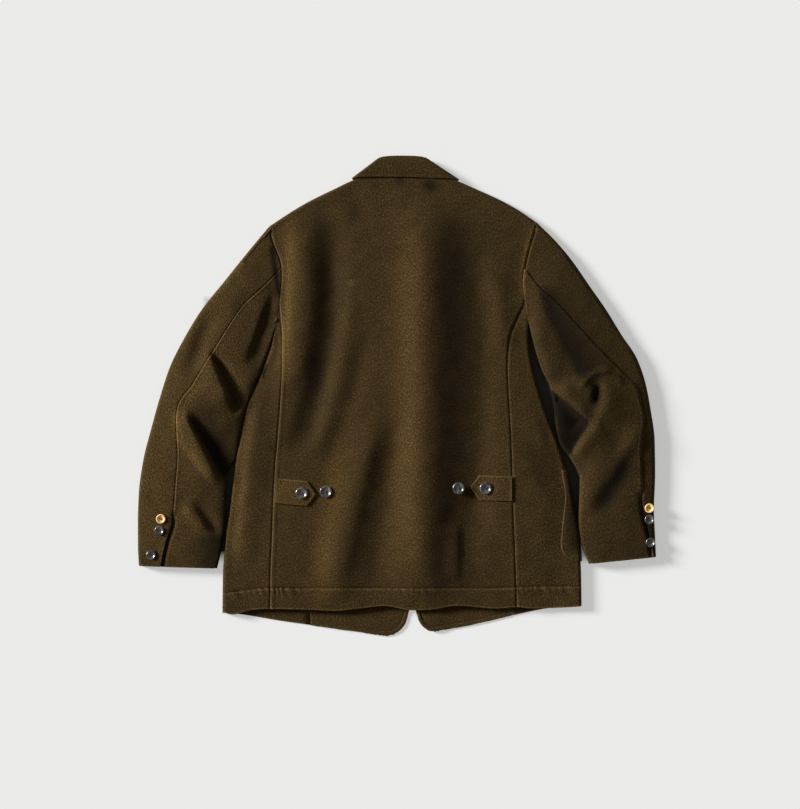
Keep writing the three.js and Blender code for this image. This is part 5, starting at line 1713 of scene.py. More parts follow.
@dataclass
class UpperSleeve(SleevePanel):
    """The upper sleeve, from the inseam below round the outer edge to the hind seam."""

    def grid(self) -> tuple[Array, Array]:
        """Returns columns 0 to 1 below, 1 to 2 round the edge and 2 to 3 above, and rows along the sleeve."""
        below, above = np.linspace(0, 1, self.cells_below + 1), clustered(2, 3, self.cells_above, 0.6)
        columns = runs(below, np.linspace(1, 2, self.cells_round + 1), above)
        return columns, clustered(0, 1, self.cells_along, 0.5)

    def lay(self, u: Array, v: Array) -> Array:
        """Works out points of the panel's outer face.

        Args:
            u: columns.
            v: rows.

        Returns:
            The points.
        """
        width = self.form.frame(v)[4]
        start = EDGE_TURN / width
        below = self.form.flat(v, lerp(INSEAM_MARK, start, np.clip(u, 0, 1)), Face.LOWER)
        turned = self.form.edge(v, (np.clip(u - 1, 0, 1) - 0.5) * math.pi, 1)
        across = lerp(start, self.form.seam(v), np.clip(u - 2, 0, 1))
        above = self.form.flat(v, across, Face.UPPER)
        distance = (self.form.seam(v) - across) * width
        inward = smooth((across - start) * width / self.relief_start)
        above[:, 2] += self.seam.at(distance) * (1 - self.vent.open(v)) + self.vent.over(v, distance)
        above[:, 2] += self.relief(above, v) * inward
        return by_column(u, below, turned, above)


@dataclass
class UnderSleeve(SleevePanel):
    """The under sleeve, from the hind seam above round the inner edge to the inseam."""

    seam: Seam = Seam(depth=1.3, groove=1.2, welt=0.5, welt_reach=6.0)
    cells_above: int = 48

    def grid(self) -> tuple[Array, Array]:
        """Returns columns 0 to 1 above, 1 to 2 round the edge and 2 to 3 below, and rows along the sleeve."""
        above, below = clustered(0, 1, self.cells_above, 0.6), np.linspace(2, 3, self.cells_below + 1)
        columns = runs(above, np.linspace(1, 2, self.cells_round + 1), below)
        return columns, clustered(0, 1, self.cells_along, 0.5)

    def lay(self, u: Array, v: Array) -> Array:
        """Works out points of the panel's outer face.

        Args:
            u: columns.
            v: rows.

        Returns:
            The points.
        """
        width = self.form.frame(v)[4]
        end = 1 - self.form.turn(-1) / width
        across = lerp(self.form.seam(v), end, np.clip(u, 0, 1))
        above = self.form.flat(v, across, Face.UPPER)
        distance = (across - self.form.seam(v)) * width
        inward = smooth((end - across) * width / self.relief_start)
        above[:, 2] += self.seam.at(distance) * (1 - self.vent.open(v)) + self.vent.under(v, distance)
        above[:, 2] += self.relief(above, v) * inward
        turned = self.form.edge(v, (0.5 - np.clip(u - 1, 0, 1)) * math.pi, -1)
        below = self.form.flat(v, lerp(end, INSEAM_MARK, np.clip(u - 2, 0, 1)), Face.LOWER)
        return by_column(u, above, turned, below)


# Rows of the collar over the back: share along the neck, the free edge's x and y, and the fold's x and y
COLLAR_STATIONS = (
    (0, -74.5, 358, -30, 391.5), (0.25, -34, 359.4, -11, 394), (0.5, 9, 359.2, 7, 394.4),
    (0.75, 56, 357.5, 28, 394), (1, 102, 356, 48, 391.5),
)
# Rows of the collar along a front: how far the stand rises, how far the fall lies over, and how far it leans
COLLAR_FRONTS = ((28, 15, 0), (27, 22, 2), (26, 30, 8), (25, 38, 20))


@dataclass
class Collar(ClothPiece):
    """The stand and fall in one band: over the back of the neck, round its sides and along the fronts."""

    nodes: tuple[str, ...] = ("collar",)
    flat: tuple[float, float] = (0.5, 0.1)
    area: float = 0.04
    held: str = "folded"
    air: float = 0.6
    height: float = EDGE_HEIGHT + CLOTH + 0.6
    end_share: float = 0.06
    neck_share: float = 0.22
    cells_along: int = 220
    cells_across: int = 64
    crown: float = 1.4
    roundness: float = 0.8
    fall: float = 36.0
    fall_rows: int = 3
    neck_rows: int = 9
    upper_places: int = 11
    side_turns: tuple[float, ...] = (-90, -45, 0, 45)
    fold_turns: tuple[float, ...] = (90, 45, 0, -45, -90)
    stitch: StitchLine = StitchLine(depth=0.7, furrow=1.1)
    stitch_in: float = 5.0

    def crossing(self, edge: Array, fold: Array, neck: Array, direction: Array, depth: float) -> Array:
        """Sets out the collar's outer face across one place.

        Args:
            edge: the fall's free edge.
            fold: the fold.
            neck: the neck seam.
            direction: where the fall looks.
            depth: from the fall to the stand behind it.

        Returns:
            Ten points from the free edge over the fold to the neck seam.
        """
        spread = depth / 2
        along = (fold - edge) / np.linalg.norm(fold - edge)
        turn = fold - along * spread
        points = [lerp(edge, turn, share) for share in (0.0, 0.4, 0.8)]
        for degrees in self.fold_turns:
            bend = math.radians(degrees)
            normal = direction * math.sin(bend) + along * math.cos(bend)
            points.append(turn - direction * spread + normal * spread)
        points += [lerp(turn, neck, share) - direction * 2 * spread for share in (0.5, 1.0)]
        return np.array(points)

    def upper(self, share: float) -> Array:
        """Works out the crossing over the back at a share from the left side of the neck to the right.

        Args:
            share: 0 at the left and 1 at the right.

        Returns:
            The crossing's points.
        """
        tracks = [Track(column(COLLAR_STATIONS, 0), column(COLLAR_STATIONS, n)) for n in range(1, 5)]
        inner = lerp(self.end_share, 1 - self.end_share, share)
        edge_x, edge_y, fold_x, fold_y = (track(inner) for track in tracks)
        x = lerp(NECK_LEFT, NECK_RIGHT, share)
        edge = np.array([edge_x, edge_y, self.height])
        fold = np.array([fold_x, fold_y, self.height])
        neck = np.array([x, BODY.top_line(x), self.height])
        return self.crossing(edge, fold, neck, np.array([0.0, 0.0, 1.0]), 2 * CLOTH + self.air)

    def beside(self, side: Side, degrees: float) -> Array:
        """Works out the crossing at the side of the neck, turned from the upper face by an angle.

        Args:
            side: the side.
            degrees: 90 on the upper face.

        Returns:
            The crossing's points.
        """
        _, edge_x, edge_y, fold_x, fold_y = COLLAR_STATIONS[0 if side is Side.LEFT else -1]
        angle = math.radians(degrees)
        run_x, run_y = unit(fold_x - edge_x, fold_y - edge_y)
        out = np.array([-run_y, run_x]) * -side.value
        direction = np.array([*(out * math.cos(angle)), math.sin(angle)])
        inset = EDGE_TURN * (1 - math.cos(angle))
        z = self.height / 2 * (1 + math.sin(angle))
        edge = np.array([edge_x - out[0] * inset, edge_y - out[1] * inset, z])
        fold = np.array([fold_x - out[0] * inset, fold_y - out[1] * inset, z])
        neck = lerp(edge, fold, self.neck_share)
        return self.crossing(edge, fold, neck, direction, 2 * CLOTH + self.air)

    def lower(self, side: Side, number: int) -> Array:
        """Works out the crossing on the lower face at one of a front's columns.

        Args:
            side: the side.
            number: the front's column.

        Returns:
            The crossing's points.
        """
        stand, over, lean = COLLAR_FRONTS[number]
        start = NECK_LEFT if side is Side.LEFT else NECK_RIGHT
        x = lerp(start, FRONT_LINE - side.value * FRONT_LAP, (number + 1) / len(COLLAR_FRONTS))
        outline = lambda at: BODY.front_top(at, side)
        out_x, out_y = BODY.outward(outline, np.array([x]))
        inwards = np.array([out_x[0], out_y[0]])
        y = outline(np.array([x]))[0]
        depth = BODY.floor(side, np.array([x]), np.array([y]))[0] + CLOTH
        edge = np.array([x - inwards[0] * over + side.value * lean, y - inwards[1] * over, 0.0])
        fold = np.array([x + inwards[0] * stand, y + inwards[1] * stand, 0.0])
        return self.crossing(edge, fold, np.array([x, y, 0.0]), np.array([0.0, 0.0, -1.0]), depth)

    def grid(self) -> tuple[Array, Array]:
        """Returns columns along the collar and rows from its free edge over the fold to the neck seam."""
        last = 2 * len(COLLAR_FRONTS) + 2 * len(self.side_turns) + self.upper_places - 1
        rows = clustered(0, self.neck_rows, self.cells_across, 0.3)
        return np.linspace(0, last, self.cells_along + 1), rows

    def lay(self, u: Array, v: Array) -> Array:
        """Works out points of the collar's outer face, smoothly drawn through its crossings.

        Args:
            u: columns.
            v: rows.

        Returns:
            The points.
        """
        stations = [self.lower(Side.LEFT, n) for n in reversed(range(len(COLLAR_FRONTS)))]
        stations += [self.beside(Side.LEFT, turn) for turn in self.side_turns]
        stations += [self.upper(share) for share in np.linspace(0, 1, self.upper_places)]
        stations += [self.beside(Side.RIGHT, turn) for turn in reversed(self.side_turns)]
        stations += [self.lower(Side.RIGHT, n) for n in range(len(COLLAR_FRONTS))]
        net = np.array(stations)
        columns = np.arange(net.shape[0])
        levels = np.arange(net.shape[1])
        across = np.array([[Track(columns, net[:, r, c]) for c in range(3)] for r in range(net.shape[1])])
        us, vs = np.unique(u), np.unique(v)
        drawn = np.array([[across[r, c](us) for c in range(3)] for r in range(net.shape[1])])
        fine = np.array([[Track(levels, drawn[:, c, k])(vs) for c in range(3)] for k in range(len(us))])
        points = fine[np.searchsorted(us, u), :, np.searchsorted(vs, v)]
        top = smooth((points[:, 2] - EDGE_HEIGHT) / 1.5)
        fall = np.clip(v / self.fall_rows, 0, 1)
        swell = self.crown * np.sin(fall * math.pi) ** self.roundness
        furrow = self.stitch.at(self.fall * fall - self.stitch_in)
        points[:, 2] += top * np.where(v < self.fall_rows, swell + furrow, 0.0)
        return points


@dataclass
class WaistTab(ClothPiece):
    """A pointed tab sewn into the back's seam at the waist."""

    side: Side = Side.LEFT
    root: tuple[float, float] = (-199.6, -155.0)
    slope: float = -0.09
    length: float = 53.0
    point: float = 15.0
    width: float = 41.0
    blunt: float = 0.08
    # The tabs take their painted highlights
    nap: tuple[Fold, ...] = TAB_PAINTED_SHADING
    # The tab's lighter edges reach further, partly rubbing and partly a painted highlight along its rim
    worn_and_highlit_reach: float = 3.2
    thickness: float = 1.8
    lift: float = 0.9
    round_over: float = 1.6
    round_drop: float = 0.8
    welt: float = 0.5
    welt_start: float = 3.0
    welt_reach: float = 9.0
    flat: tuple[float, float] = (0.042, 0.068)
    area: float = 0.0025
    cells_long: int = 60
    cells_across: int = 40
    stitch: StitchLine = StitchLine(depth=0.5, furrow=0.9)
    stitch_in: float = 4.6

    def grid(self) -> tuple[Array, Array]:
        """Returns columns across the tab and rows from the seam to the point."""
        return clustered(-1, 1, self.cells_across, 0.5), clustered(0, 1, self.cells_long, 0.6)

    def half(self, run: Array) -> Array:
        """Returns half of the tab's width at a distance from the seam."""
        reach = self.length + self.point
        return self.width / 2 * np.clip((reach - run) / self.point, self.blunt, 1)

    def plan(self, run: Array, off: Array) -> tuple[Array, Array]:
        """Returns plan points by distance from the seam and from the tab's middle line."""
        return self.root[0] - self.side.value * run, self.root[1] + self.slope * run + off

    def squareness(self) -> float:
        """Returns the cosine of the angle by which the point's edges leave a square end."""
        return math.cos(math.atan(self.point * 2 / self.width))

    def rim(self, run: Array, off: Array) -> Array:
        """Returns the distance inwards from the tab's nearest free edge."""
        before_point = self.length + self.point - run - np.abs(off) * self.point / (self.width / 2)
        return np.minimum(self.width / 2 - np.abs(off), before_point * self.squareness())

    def height(self, run: Array, off: Array) -> Array:
        """Works out the height of the tab's upper face.

        Args:
            run: distances from the seam.
            off: distances from the middle line.

        Returns:
            The heights.
        """
        x, y = self.plan(run, off)
        rim = self.rim(run, off)
        under = BODY.top(x, y) + RIPPLES.at(x, y)
        past = 1 - np.clip(rim / self.round_over, 0, 1)
        rolled = self.round_drop * (1 - np.sqrt(np.clip(1 - past**2, 0, 1)))
        swell = self.welt * smooth(rim / self.welt_start) * smooth((self.welt_reach - rim) / 5)
        return under + self.thickness + self.lift + swell - rolled + self.stitch.at(rim - self.stitch_in)

    def lay(self, u: Array, v: Array) -> Array:
        """Works out points of the tab's upper face.

        Args:
            u: columns.
            v: rows.

        Returns:
            The points.
        """
        run = v * (self.length + self.point)
        off = u * self.half(run)
        x, y = self.plan(run, off)
        return np.stack([x, y, self.height(run, off)], axis=-1)


@dataclass
class PatchPocket(ClothPiece):
    """A patch pocket with two round lower corners, laid on the lower face and round the side."""

    side: Side = Side.RIGHT
    rows: tuple[tuple[float, float, float], ...] = ()
    outward: tuple[float, float, float] = (0.0, 0.0, -1.0)
    thickness: float = 1.6
    lap: float = POCKET_LAP
    top: float = POCKET_TOP
    bottom: float = POCKET_BOTTOM
    corner: float = POCKET_CORNER
    clear: float = 2.0
    flat: tuple[float, float] = (0.17, 0.174)
    area: float = 0.027
    cells_across: int = 60
    cells_up: int = 64
    stitch: StitchLine = StitchLine(depth=0.4, furrow=1.0)

    def __post_init__(self) -> None:
        """Fits curves to where the pocket's rear and inner edges lie."""
        heights = column(self.rows, 0)
        self.reach = Track(heights, column(self.rows, 1))
        self.inner = Track(heights, column(self.rows, 2))

    def grid(self) -> tuple[Array, Array]:
        """Returns columns from the rear edge to the inner edge and rows from the bottom to the top."""
        corner_share = self.corner / (self.top - self.bottom)
        curve = corner_share * (1 - np.cos(np.linspace(0, math.pi / 2, 17)))
        straight = np.linspace(corner_share, 1, self.cells_up - 15)
        return clustered(0, 1, self.cells_across, 0.3), runs(curve, straight)

    def lay(self, u: Array, v: Array) -> Array:
        """Works out points of the pocket's outer face, by their distance round the side.

        Args:
            u: columns.
            v: rows.

        Returns:
            The points.
        """
        side = self.side.value
        y = lerp(self.bottom, self.top, v)
        depth = np.clip(1 - (y - self.bottom) / self.corner, 0, 1)
        inset = self.corner * (1 - np.sqrt(1 - depth**2))
        edge = BODY.edge(self.side)(y)
        rear = self.reach(y) - inset
        rear = np.where(rear < -QUARTER, rear, np.maximum(rear, QUARTER + self.clear))
        end = EDGE_TURN - QUARTER - np.abs(edge - self.inner(y)) + inset
        girth = lerp(rear, end, u)
        turn_x = edge - side * EDGE_TURN
        angle = np.clip(girth / EDGE_TURN, -math.pi / 2, math.pi / 2)
        past = np.maximum(0, np.abs(girth) - QUARTER)
        x = turn_x + side * (EDGE_TURN * np.cos(angle) - past)
        high = BODY.top(turn_x, y)
        round_z = self.lap + (high - self.lap) / 2 * (1 + np.sin(angle))
        z = np.where(past > 0, np.where(girth > 0, BODY.top(x, y), self.lap), round_z)
        return np.stack([x + side * np.cos(angle) * self.lap, y, z + np.sin(angle) * self.lap], axis=-1)


class ButtonSize(Enum):
    """The two sizes of button: radius and thickness in millimetres."""

    COAT = (10.0, 3.0)
    CUFF = (7.8, 2.8)


# The button's outline from the middle of its back over the rim to the middle of its face: share of its radius
# and share of its thickness
BUTTON_PROFILE = (
    (0.0, 0.0), (0.72, 0.0), (0.86, 0.12), (0.96, 0.34), (1.0, 0.55), (0.985, 0.74), (0.94, 0.9),
    (0.87, 0.985), (0.79, 0.98), (0.71, 0.84), (0.63, 0.62), (0.55, 0.45), (0.46, 0.38), (0.36, 0.36),
    (0.0, 0.36),
)


@dataclass(frozen=True)
class Button:
    """A round button with a raised rim, a dished middle and four holes, sewn on with crossed thread."""

    name: str
    size: ButtonSize
    centre: tuple[float, float, float]
    normal: tuple[float, float, float] = (0.0, 0.0, 1.0)
    turn: float = 20.0
    slot: str = "dark_button"
    segments: int = 48
    hole_ring: float = 0.23
    hole: float = 0.11
    hole_flare: float = 1.25
    drill_length: float = 1.4
    smooth_below: float = 48.0
    dish: float = 0.37
    bar_rise: float = 0.25
    bar_step: float = 0.35
    bar_share: float = 0.62
    bar_width: float = 0.42
    bar_height: float = 0.36

    def turned(self) -> bmesh.types.BMesh:
        """Spins the outline into a closed disc.

        Returns:
            Its mesh.
        """
        radius, thick = self.size.value
        mesh = bmesh.new()
        verts = [mesh.verts.new((r * radius * MM, 0.0, z * thick * MM)) for r, z in BUTTON_PROFILE]
        edges = [mesh.edges.new(pair) for pair in zip(verts, verts[1:])]
        bmesh.ops.spin(
            mesh, geom=verts + edges, cent=(0, 0, 0), axis=(0, 0, 1), angle=2 * math.pi, steps=self.segments,
            use_merge=True,
        )
        bmesh.ops.remove_doubles(mesh, verts=mesh.verts, dist=1e-6)
        bmesh.ops.recalc_face_normals(mesh, faces=mesh.faces)
        return mesh

    def holes(self) -> list[tuple[float, float]]:
        """Returns the centres of the four holes."""
        radius = self.size.value[0]
        return [
            (radius * self.hole_ring * math.cos(a), radius * self.hole_ring * math.sin(a))
            for a in (math.pi / 4 + n * math.pi / 2 for n in range(4))
        ]

    def drill(self, disc: bpy.types.Object) -> None:
        """Cuts the four holes through the disc.

        Args:
            disc: the turned button.
        """
        radius, thick = self.size.value
        cutter_mesh = bmesh.new()
        for x, y in self.holes():
            place = Matrix.Translation((x * MM, y * MM, thick * MM / 2))
            bmesh.ops.create_cone(
                cutter_mesh, cap_ends=True, segments=12, radius1=radius * self.hole * MM,
                radius2=radius * self.hole * self.hole_flare * MM, depth=thick * self.drill_length * MM,
                matrix=place,
            )
        cutter = add_object("drill", cutter_mesh)
        cut = disc.modifiers.new("holes", "BOOLEAN")
        cut.operation = "DIFFERENCE"
        cut.solver = "EXACT"
        cut.object = cutter
        bpy.context.view_layer.update()
        drilled = bpy.data.meshes.new_from_object(disc.evaluated_get(bpy.context.evaluated_depsgraph_get()))
        disc.modifiers.clear()
        disc.data = drilled
        bpy.data.objects.remove(cutter)

    def placing(self) -> Matrix:
        """Returns the turn and move from the button's own frame to its place on the jacket."""
        facing = Vector((0, 0, 1)).rotation_difference(Vector(self.normal)).to_matrix().to_4x4()
        spun = Matrix.Rotation(math.radians(self.turn), 4, "Z")
        return Matrix.Translation(Vector(self.centre) * MM) @ facing @ spun

    def build(self, material: bpy.types.Material) -> bpy.types.Object:
        """Makes the button in its place.

        Args:
            material: what it is turned from.

        Returns:
            The finished object.
        """
        disc = add_object(self.name + "_turned", self.turned(), material)
        self.drill(disc)
        disc.data.shade_smooth()
        disc.data.set_sharp_from_angle(angle=math.radians(self.smooth_below))
        disc.data.transform(self.placing())
        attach(disc, "root")
        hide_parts(self.name)
        LOG.info("%s: %d faces", disc.name, len(disc.data.polygons))
        return disc

    def thread(self, mesh: bmesh.types.BMesh) -> None:
        """Adds two bars of thread that cross between the holes."""
        thick = self.size.value[1]
        points = self.holes()
        for rise, (first, second) in enumerate(((0, 2), (1, 3))):
            start, end = Vector((*points[first], 0)), Vector((*points[second], 0))
            middle = (start + end) / 2
            turn = Matrix.Rotation(math.atan2((end - start).y, (end - start).x), 4, "Z")
            height = thick * self.dish + self.bar_rise + rise * self.bar_step
            half_length = (end - start).length * self.bar_share
            scale = Matrix.Diagonal((half_length, self.bar_width, self.bar_height, 1.0))
            place = self.placing() @ METRES @ Matrix.Translation((middle.x, middle.y, height)) @ turn @ scale
            bmesh.ops.create_icosphere(mesh, subdivisions=2, radius=1.0, matrix=place)


@dataclass
class Topstitching:
    """All rows of stitches, joined in one piece."""

    material: bpy.types.Material
    pitch: float = 3.3
    stitch: float = 2.5
    width: float = 0.34
    sink: float = 0.08

    def __post_init__(self) -> None:
        """Starts an empty mesh."""
        self.mesh = bmesh.new()
        self.count = 0

    def sew(self, points: Array, face: Face = Face.UPPER) -> None:
        """Adds stitches along a line of points that lie on the cloth, in millimetres.

        Args:
            points: the line.
            face: the face that the stitches lie on.
        """
        steps = np.linalg.norm(np.diff(points, axis=0), axis=1)
        along = np.concatenate([[0.0], np.cumsum(steps)])
        starts = np.arange(self.pitch / 2, along[-1] - self.stitch, self.pitch)
        read = lambda at: np.stack([np.interp(at, along, points[:, k]) for k in range(3)], axis=-1)
        half = np.array([self.stitch / 2, self.width / 2, self.width / 2])
        for start, end in zip(read(starts), read(starts + self.stitch)):
            run = Vector(end - start)
            middle = Vector((start + end) / 2) - Vector((0, 0, face.value * self.sink))
            turn = run.to_track_quat("X", "Z").to_matrix().to_4x4()
            place = METRES @ Matrix.Translation(middle) @ turn @ Matrix.Diagonal((*half, 1.0))
            bmesh.ops.create_icosphere(self.mesh, subdivisions=1, radius=1.0, matrix=place)
            self.count += 1

    def build(self) -> bpy.types.Object:
        """Makes the joined piece.

        Returns:
            The finished object.
        """
        piece = add_object("topstitching", self.mesh, self.material)
        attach(piece, "root")
        LOG.info("topstitching: %d stitches", self.count)
        return piece


@dataclass
class Seamwork:
    """Where the rows of stitches run: on hems, tabs, collar, cuffs, front edges and pockets."""

    stitching: Topstitching
    step: float = 4.0
    edge_in: float = 5.0
    clear: float = 3.0
    line_y: float = -320.0
    seam_y: float = -315.0

    def back_hem(self, back: BackPanel) -> None:
        """Sews the hems of the back and of both side panels.

        Args:
            back: the back.
        """
        left, right = BODY.left_edge(self.line_y) + 8, BODY.right_edge(self.line_y) - 7
        x = np.arange(left, right, self.step)
        y = HEM_LINE(x)
        z = BODY.top(x, y) + RIPPLES.at(x, y) + hem_relief(x, y)
        first = float(np.interp(self.seam_y, *reversed(back.left.points[:60].T)))
        ends = (x[0] - self.clear, first, back.right.points[0, 0], x[-1] + self.clear)
        for low, high in zip(ends, ends[1:]):
            part = (x >= low + self.clear) & (x <= high - self.clear)
            self.stitching.sew(np.stack([x, y, z], axis=-1)[part])

    def tab(self, tab: WaistTab) -> None:
        """Sews round a tab's free edges.

        Args:
            tab: the tab.
        """
        off = tab.width / 2 - tab.stitch_in
        tip = tab.length + tab.point - tab.stitch_in / tab.squareness()
        knee = tip - off * tab.point / (tab.width / 2)
        start, side_points, point_points = 2, 20, 12
        run = runs(np.linspace(start, knee, side_points), np.linspace(knee, tip, point_points))
        offs = runs(np.full(side_points, off), np.linspace(off, 0, point_points))
        for sign in (1, -1):
            x, y = tab.plan(run, sign * offs)
            self.stitching.sew(np.stack([x, y, tab.height(run, sign * offs)], axis=-1))

    def collar(self, collar: Collar) -> None:
        """Sews along the collar's free edge over the back of the neck.

        Args:
            collar: the collar.
        """
        first = len(COLLAR_FRONTS) + len(collar.side_turns)
        u = np.linspace(first, first + collar.upper_places - 1, 90)
        v = np.full_like(u, collar.fall_rows * collar.stitch_in / collar.fall)
        self.stitching.sew(collar.lay(u, v))

    def cuff(self, panel: SleevePanel) -> None:
        """Sews the hem of one piece of a cuff."""
        low, high = (2.06, 2.9) if isinstance(panel, UpperSleeve) else (0.06, 0.94)
        u = np.linspace(low, high, 40)
        self.stitching.sew(panel.lay(u, np.full_like(u, 1 - panel.cuff_turn / panel.length)))

    def vent(self, panel: UpperSleeve) -> None:
        """Sews beside the free edge of a cuff's vent.

        Args:
            panel: the upper sleeve.
        """
        v = np.linspace(panel.vent.start + 0.03, 0.99, 40)
        width = panel.form.frame(v)[4]
        span = panel.form.seam(v) * width - EDGE_TURN
        u = 3 - self.edge_in / span
        if span.min() > self.edge_in * 2:
            self.stitching.sew(panel.lay(u, v))

    def front(self, front: FrontPanel) -> None:
        """Sews inside a front's free edge, on both faces of the cloth.

        Args:
            front: the front.
        """
        top_y = 240.0
        centre = front.centre(top_y)
        hem_x = np.linspace(front.armside.points[0, 0], centre[0, 0], 60)[1:-1]
        hem = np.stack([hem_x, BODY.front_hem(hem_x)], axis=-1)
        line = np.concatenate([hem, centre])
        tangent = np.gradient(line, axis=0)
        length = np.hypot(*tangent.T)
        inward = np.stack([tangent[:, 1], -tangent[:, 0]], axis=-1) / length[:, None] * front.side.value
        inset = line + inward * self.edge_in
        z = BODY.floor(front.side, inset[:, 0], inset[:, 1])
        self.stitching.sew(np.column_stack([inset, z + CLOTH]))
        self.stitching.sew(np.column_stack([inset, z]), Face.LOWER)

    def pocket(self, pocket: PatchPocket) -> None:
        """Sews round a pocket's sides and bottom."""
        inset, top = 0.03, 0.985
        corners = ((inset, top), (inset, inset), (1 - inset, inset), (1 - inset, top))
        for (u0, v0), (u1, v1) in zip(corners, corners[1:]):
            points = pocket.lay(np.linspace(u0, u1, 60), np.linspace(v0, v1, 60))
            face = Face.UPPER if points[:, 2].mean() > EDGE_HEIGHT / 2 else Face.LOWER
            self.stitching.sew(points, face)


@dataclass(frozen=True)
class Buttonhole:
    """The worked end of a buttonhole that shows beside its button."""

    x: float
    y: float
    length: float = 4.6
    width: float = 2.2
    count: int = 7
    half_thread: tuple[float, float] = (0.42, 0.4)

    def sew(self, mesh: bmesh.types.BMesh, z: float) -> None:
        """Adds short satin stitches across the buttonhole's end."""
        half_x, half_z = self.half_thread
        size = Matrix.Diagonal((half_x, self.width / 2, half_z, 1.0))
        for step in np.linspace(-self.length / 2, self.length / 2, self.count):
            place = METRES @ Matrix.Translation((self.x + step, self.y, z)) @ size
            bmesh.ops.create_icosphere(mesh, subdivisions=1, radius=1.0, matrix=place)


@dataclass(frozen=True)
class Studio:
    """A pale floor, a large soft key from the upper left, weak light all round and a camera above."""

    floor_half: float = 3.0
    key_height: float = 20.0
    key_heading: float = -20.0
    key_strength: float = 6.9
    key_softness: float = 14.0
    fill: float = 0.2
    lens: float = 90.0
    aim: tuple[float, float] = (0.0049, -0.0139)
    distance: float = 3.329

    def build(self) -> None:
        """Sets up the floor, the lights and the camera."""
        mesh = bmesh.new()
        bmesh.ops.create_grid(mesh, x_segments=1, y_segments=1, size=self.floor_half)
        add_object("floor", mesh, StudioFloor().make())
        sun = bpy.data.lights.new("key", "SUN")
        sun.energy = self.key_strength
        sun.angle = math.radians(self.key_softness)
        self.aim_light(self.place("key", sun))
        world = bpy.data.worlds.new("studio")
        world.use_nodes = True
        background = world.node_tree.nodes["Background"]
        background.inputs["Strength"].default_value = self.fill
        background.inputs["Color"].default_value = (1, 1, 1, 1)
        bpy.context.scene.world = world
        camera = self.place("camera", bpy.data.cameras.new("camera"))
        camera.data.lens = self.lens
        camera.location = (*self.aim, self.distance)
        bpy.context.scene.camera = camera
        bpy.context.scene.view_settings.view_transform = "Standard"

    def aim_light(self, light: bpy.types.Object) -> None:
        """Turns the key to shine from the left at its height."""
        height, heading = math.radians(self.key_height), math.radians(self.key_heading)
        level = math.cos(height)
        shine = Vector((level * math.cos(heading), level * math.sin(heading), -math.sin(height)))
        light.rotation_euler = shine.to_track_quat("-Z", "Y").to_euler()

    @staticmethod
    def place(name: str, data: bpy.types.ID) -> bpy.types.Object:
        """Links a light or a camera into the scene."""
        made = bpy.data.objects.new(name, data)
        bpy.context.scene.collection.objects.link(made)
        return made


# The upper face's buttons: node, x, y, size, finish and how far each is turned, in degrees
LAID_BUTTONS = (
    ("tab_button_left", -155.8, -159.1, ButtonSize.COAT, "dark_button", 23.0),
    ("tab_button_right", 145.3, -151.0, ButtonSize.COAT, "dark_button", 54.0),
    ("spare_button_left", -116.4, -156.8, ButtonSize.COAT, "dark_button", 85.0),
    ("spare_button_right", 101.0, -151.0, ButtonSize.COAT, "dark_button", 116.0),
    ("cuff_button_left_1", -386.4, -201.1, ButtonSize.CUFF, "pale_button", 147.0),
    ("cuff_button_left_2", -389.0, -220.2, ButtonSize.CUFF, "dark_button", 178.0),
    ("cuff_button_left_3", -402.8, -260.3, ButtonSize.CUFF, "dark_button", 209.0),
    ("cuff_button_right_1", 413.4, -183.7, ButtonSize.CUFF, "pale_button", 20.0),
    ("cuff_button_right_2", 413.4, -202.4, ButtonSize.CUFF, "dark_button", 20.0),
    ("cuff_button_right_3", 415.4, -240.0, ButtonSize.CUFF, "dark_button", 20.0),
)
TAB_HOLES = (Buttonhole(-168.2, -154.2, 5.5, 2.6), Buttonhole(157.6, -150.8, 5.5, 2.6))
CUFF_HOLES = (Buttonhole(-396.9, -200.1), Buttonhole(-400.2, -218.9), Buttonhole(-412.6, -258.6))
# Rows of each pocket: y, then how far it reaches over the side, and x of its inner edge
POCKET_ROWS = {
    Side.LEFT: ((-271, -16, -92), (-97, -17, -103)),
    Side.RIGHT: (
        (-271, 35, 146), (-245, 34, 143), (-223, 30.4, 141), (-195, 23.4, 138), (-160, 14, 135),
        (-122, 11.4, 131),
    ),
}


@dataclass
class Buttons:
    """All of the jacket's buttons, their thread and the ends of their buttonholes."""

    horn: bpy.types.Material
    wood: bpy.types.Material
    thread: bpy.types.Material
    above_tab: float = 2.9

    def placed(self) -> list[Button]:
        """Works out every button in its place, resting where its CAD node does.

        Returns:
            The buttons.
        """
        buttons = []
        for name, x, y, size, slot, turn in LAID_BUTTONS:
            buttons.append(Button(name, size, (x, y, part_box(name)[0].z / MM), slot=slot, turn=turn))
        for number, y in enumerate(BUTTON_YS):
            node = f"front_button_{number + 1}"
            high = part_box(node)[1].z / MM
            buttons.append(Button(node, ButtonSize.COAT, (FRONT_LINE, y, high), (0.0, 0.0, -1.0)))
        return buttons

    def build(self) -> None:
        """Makes the buttons and everything that is sewn at them."""
        mesh = bmesh.new()
        for button in self.placed():
            button.build(self.wood if button.slot == "pale_button" else self.horn)
            button.thread(mesh)
        for hole in TAB_HOLES:
            hole.sew(mesh, float(BODY.top(np.array([hole.x]), np.array([hole.y]))[0]) + self.above_tab)
        for hole in CUFF_HOLES:
            hole.sew(mesh, nearest_sleeve_top(LEFT_SLEEVE, hole.x, hole.y))
        piece = add_object("button_thread", mesh, self.thread)
        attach(piece, "root")


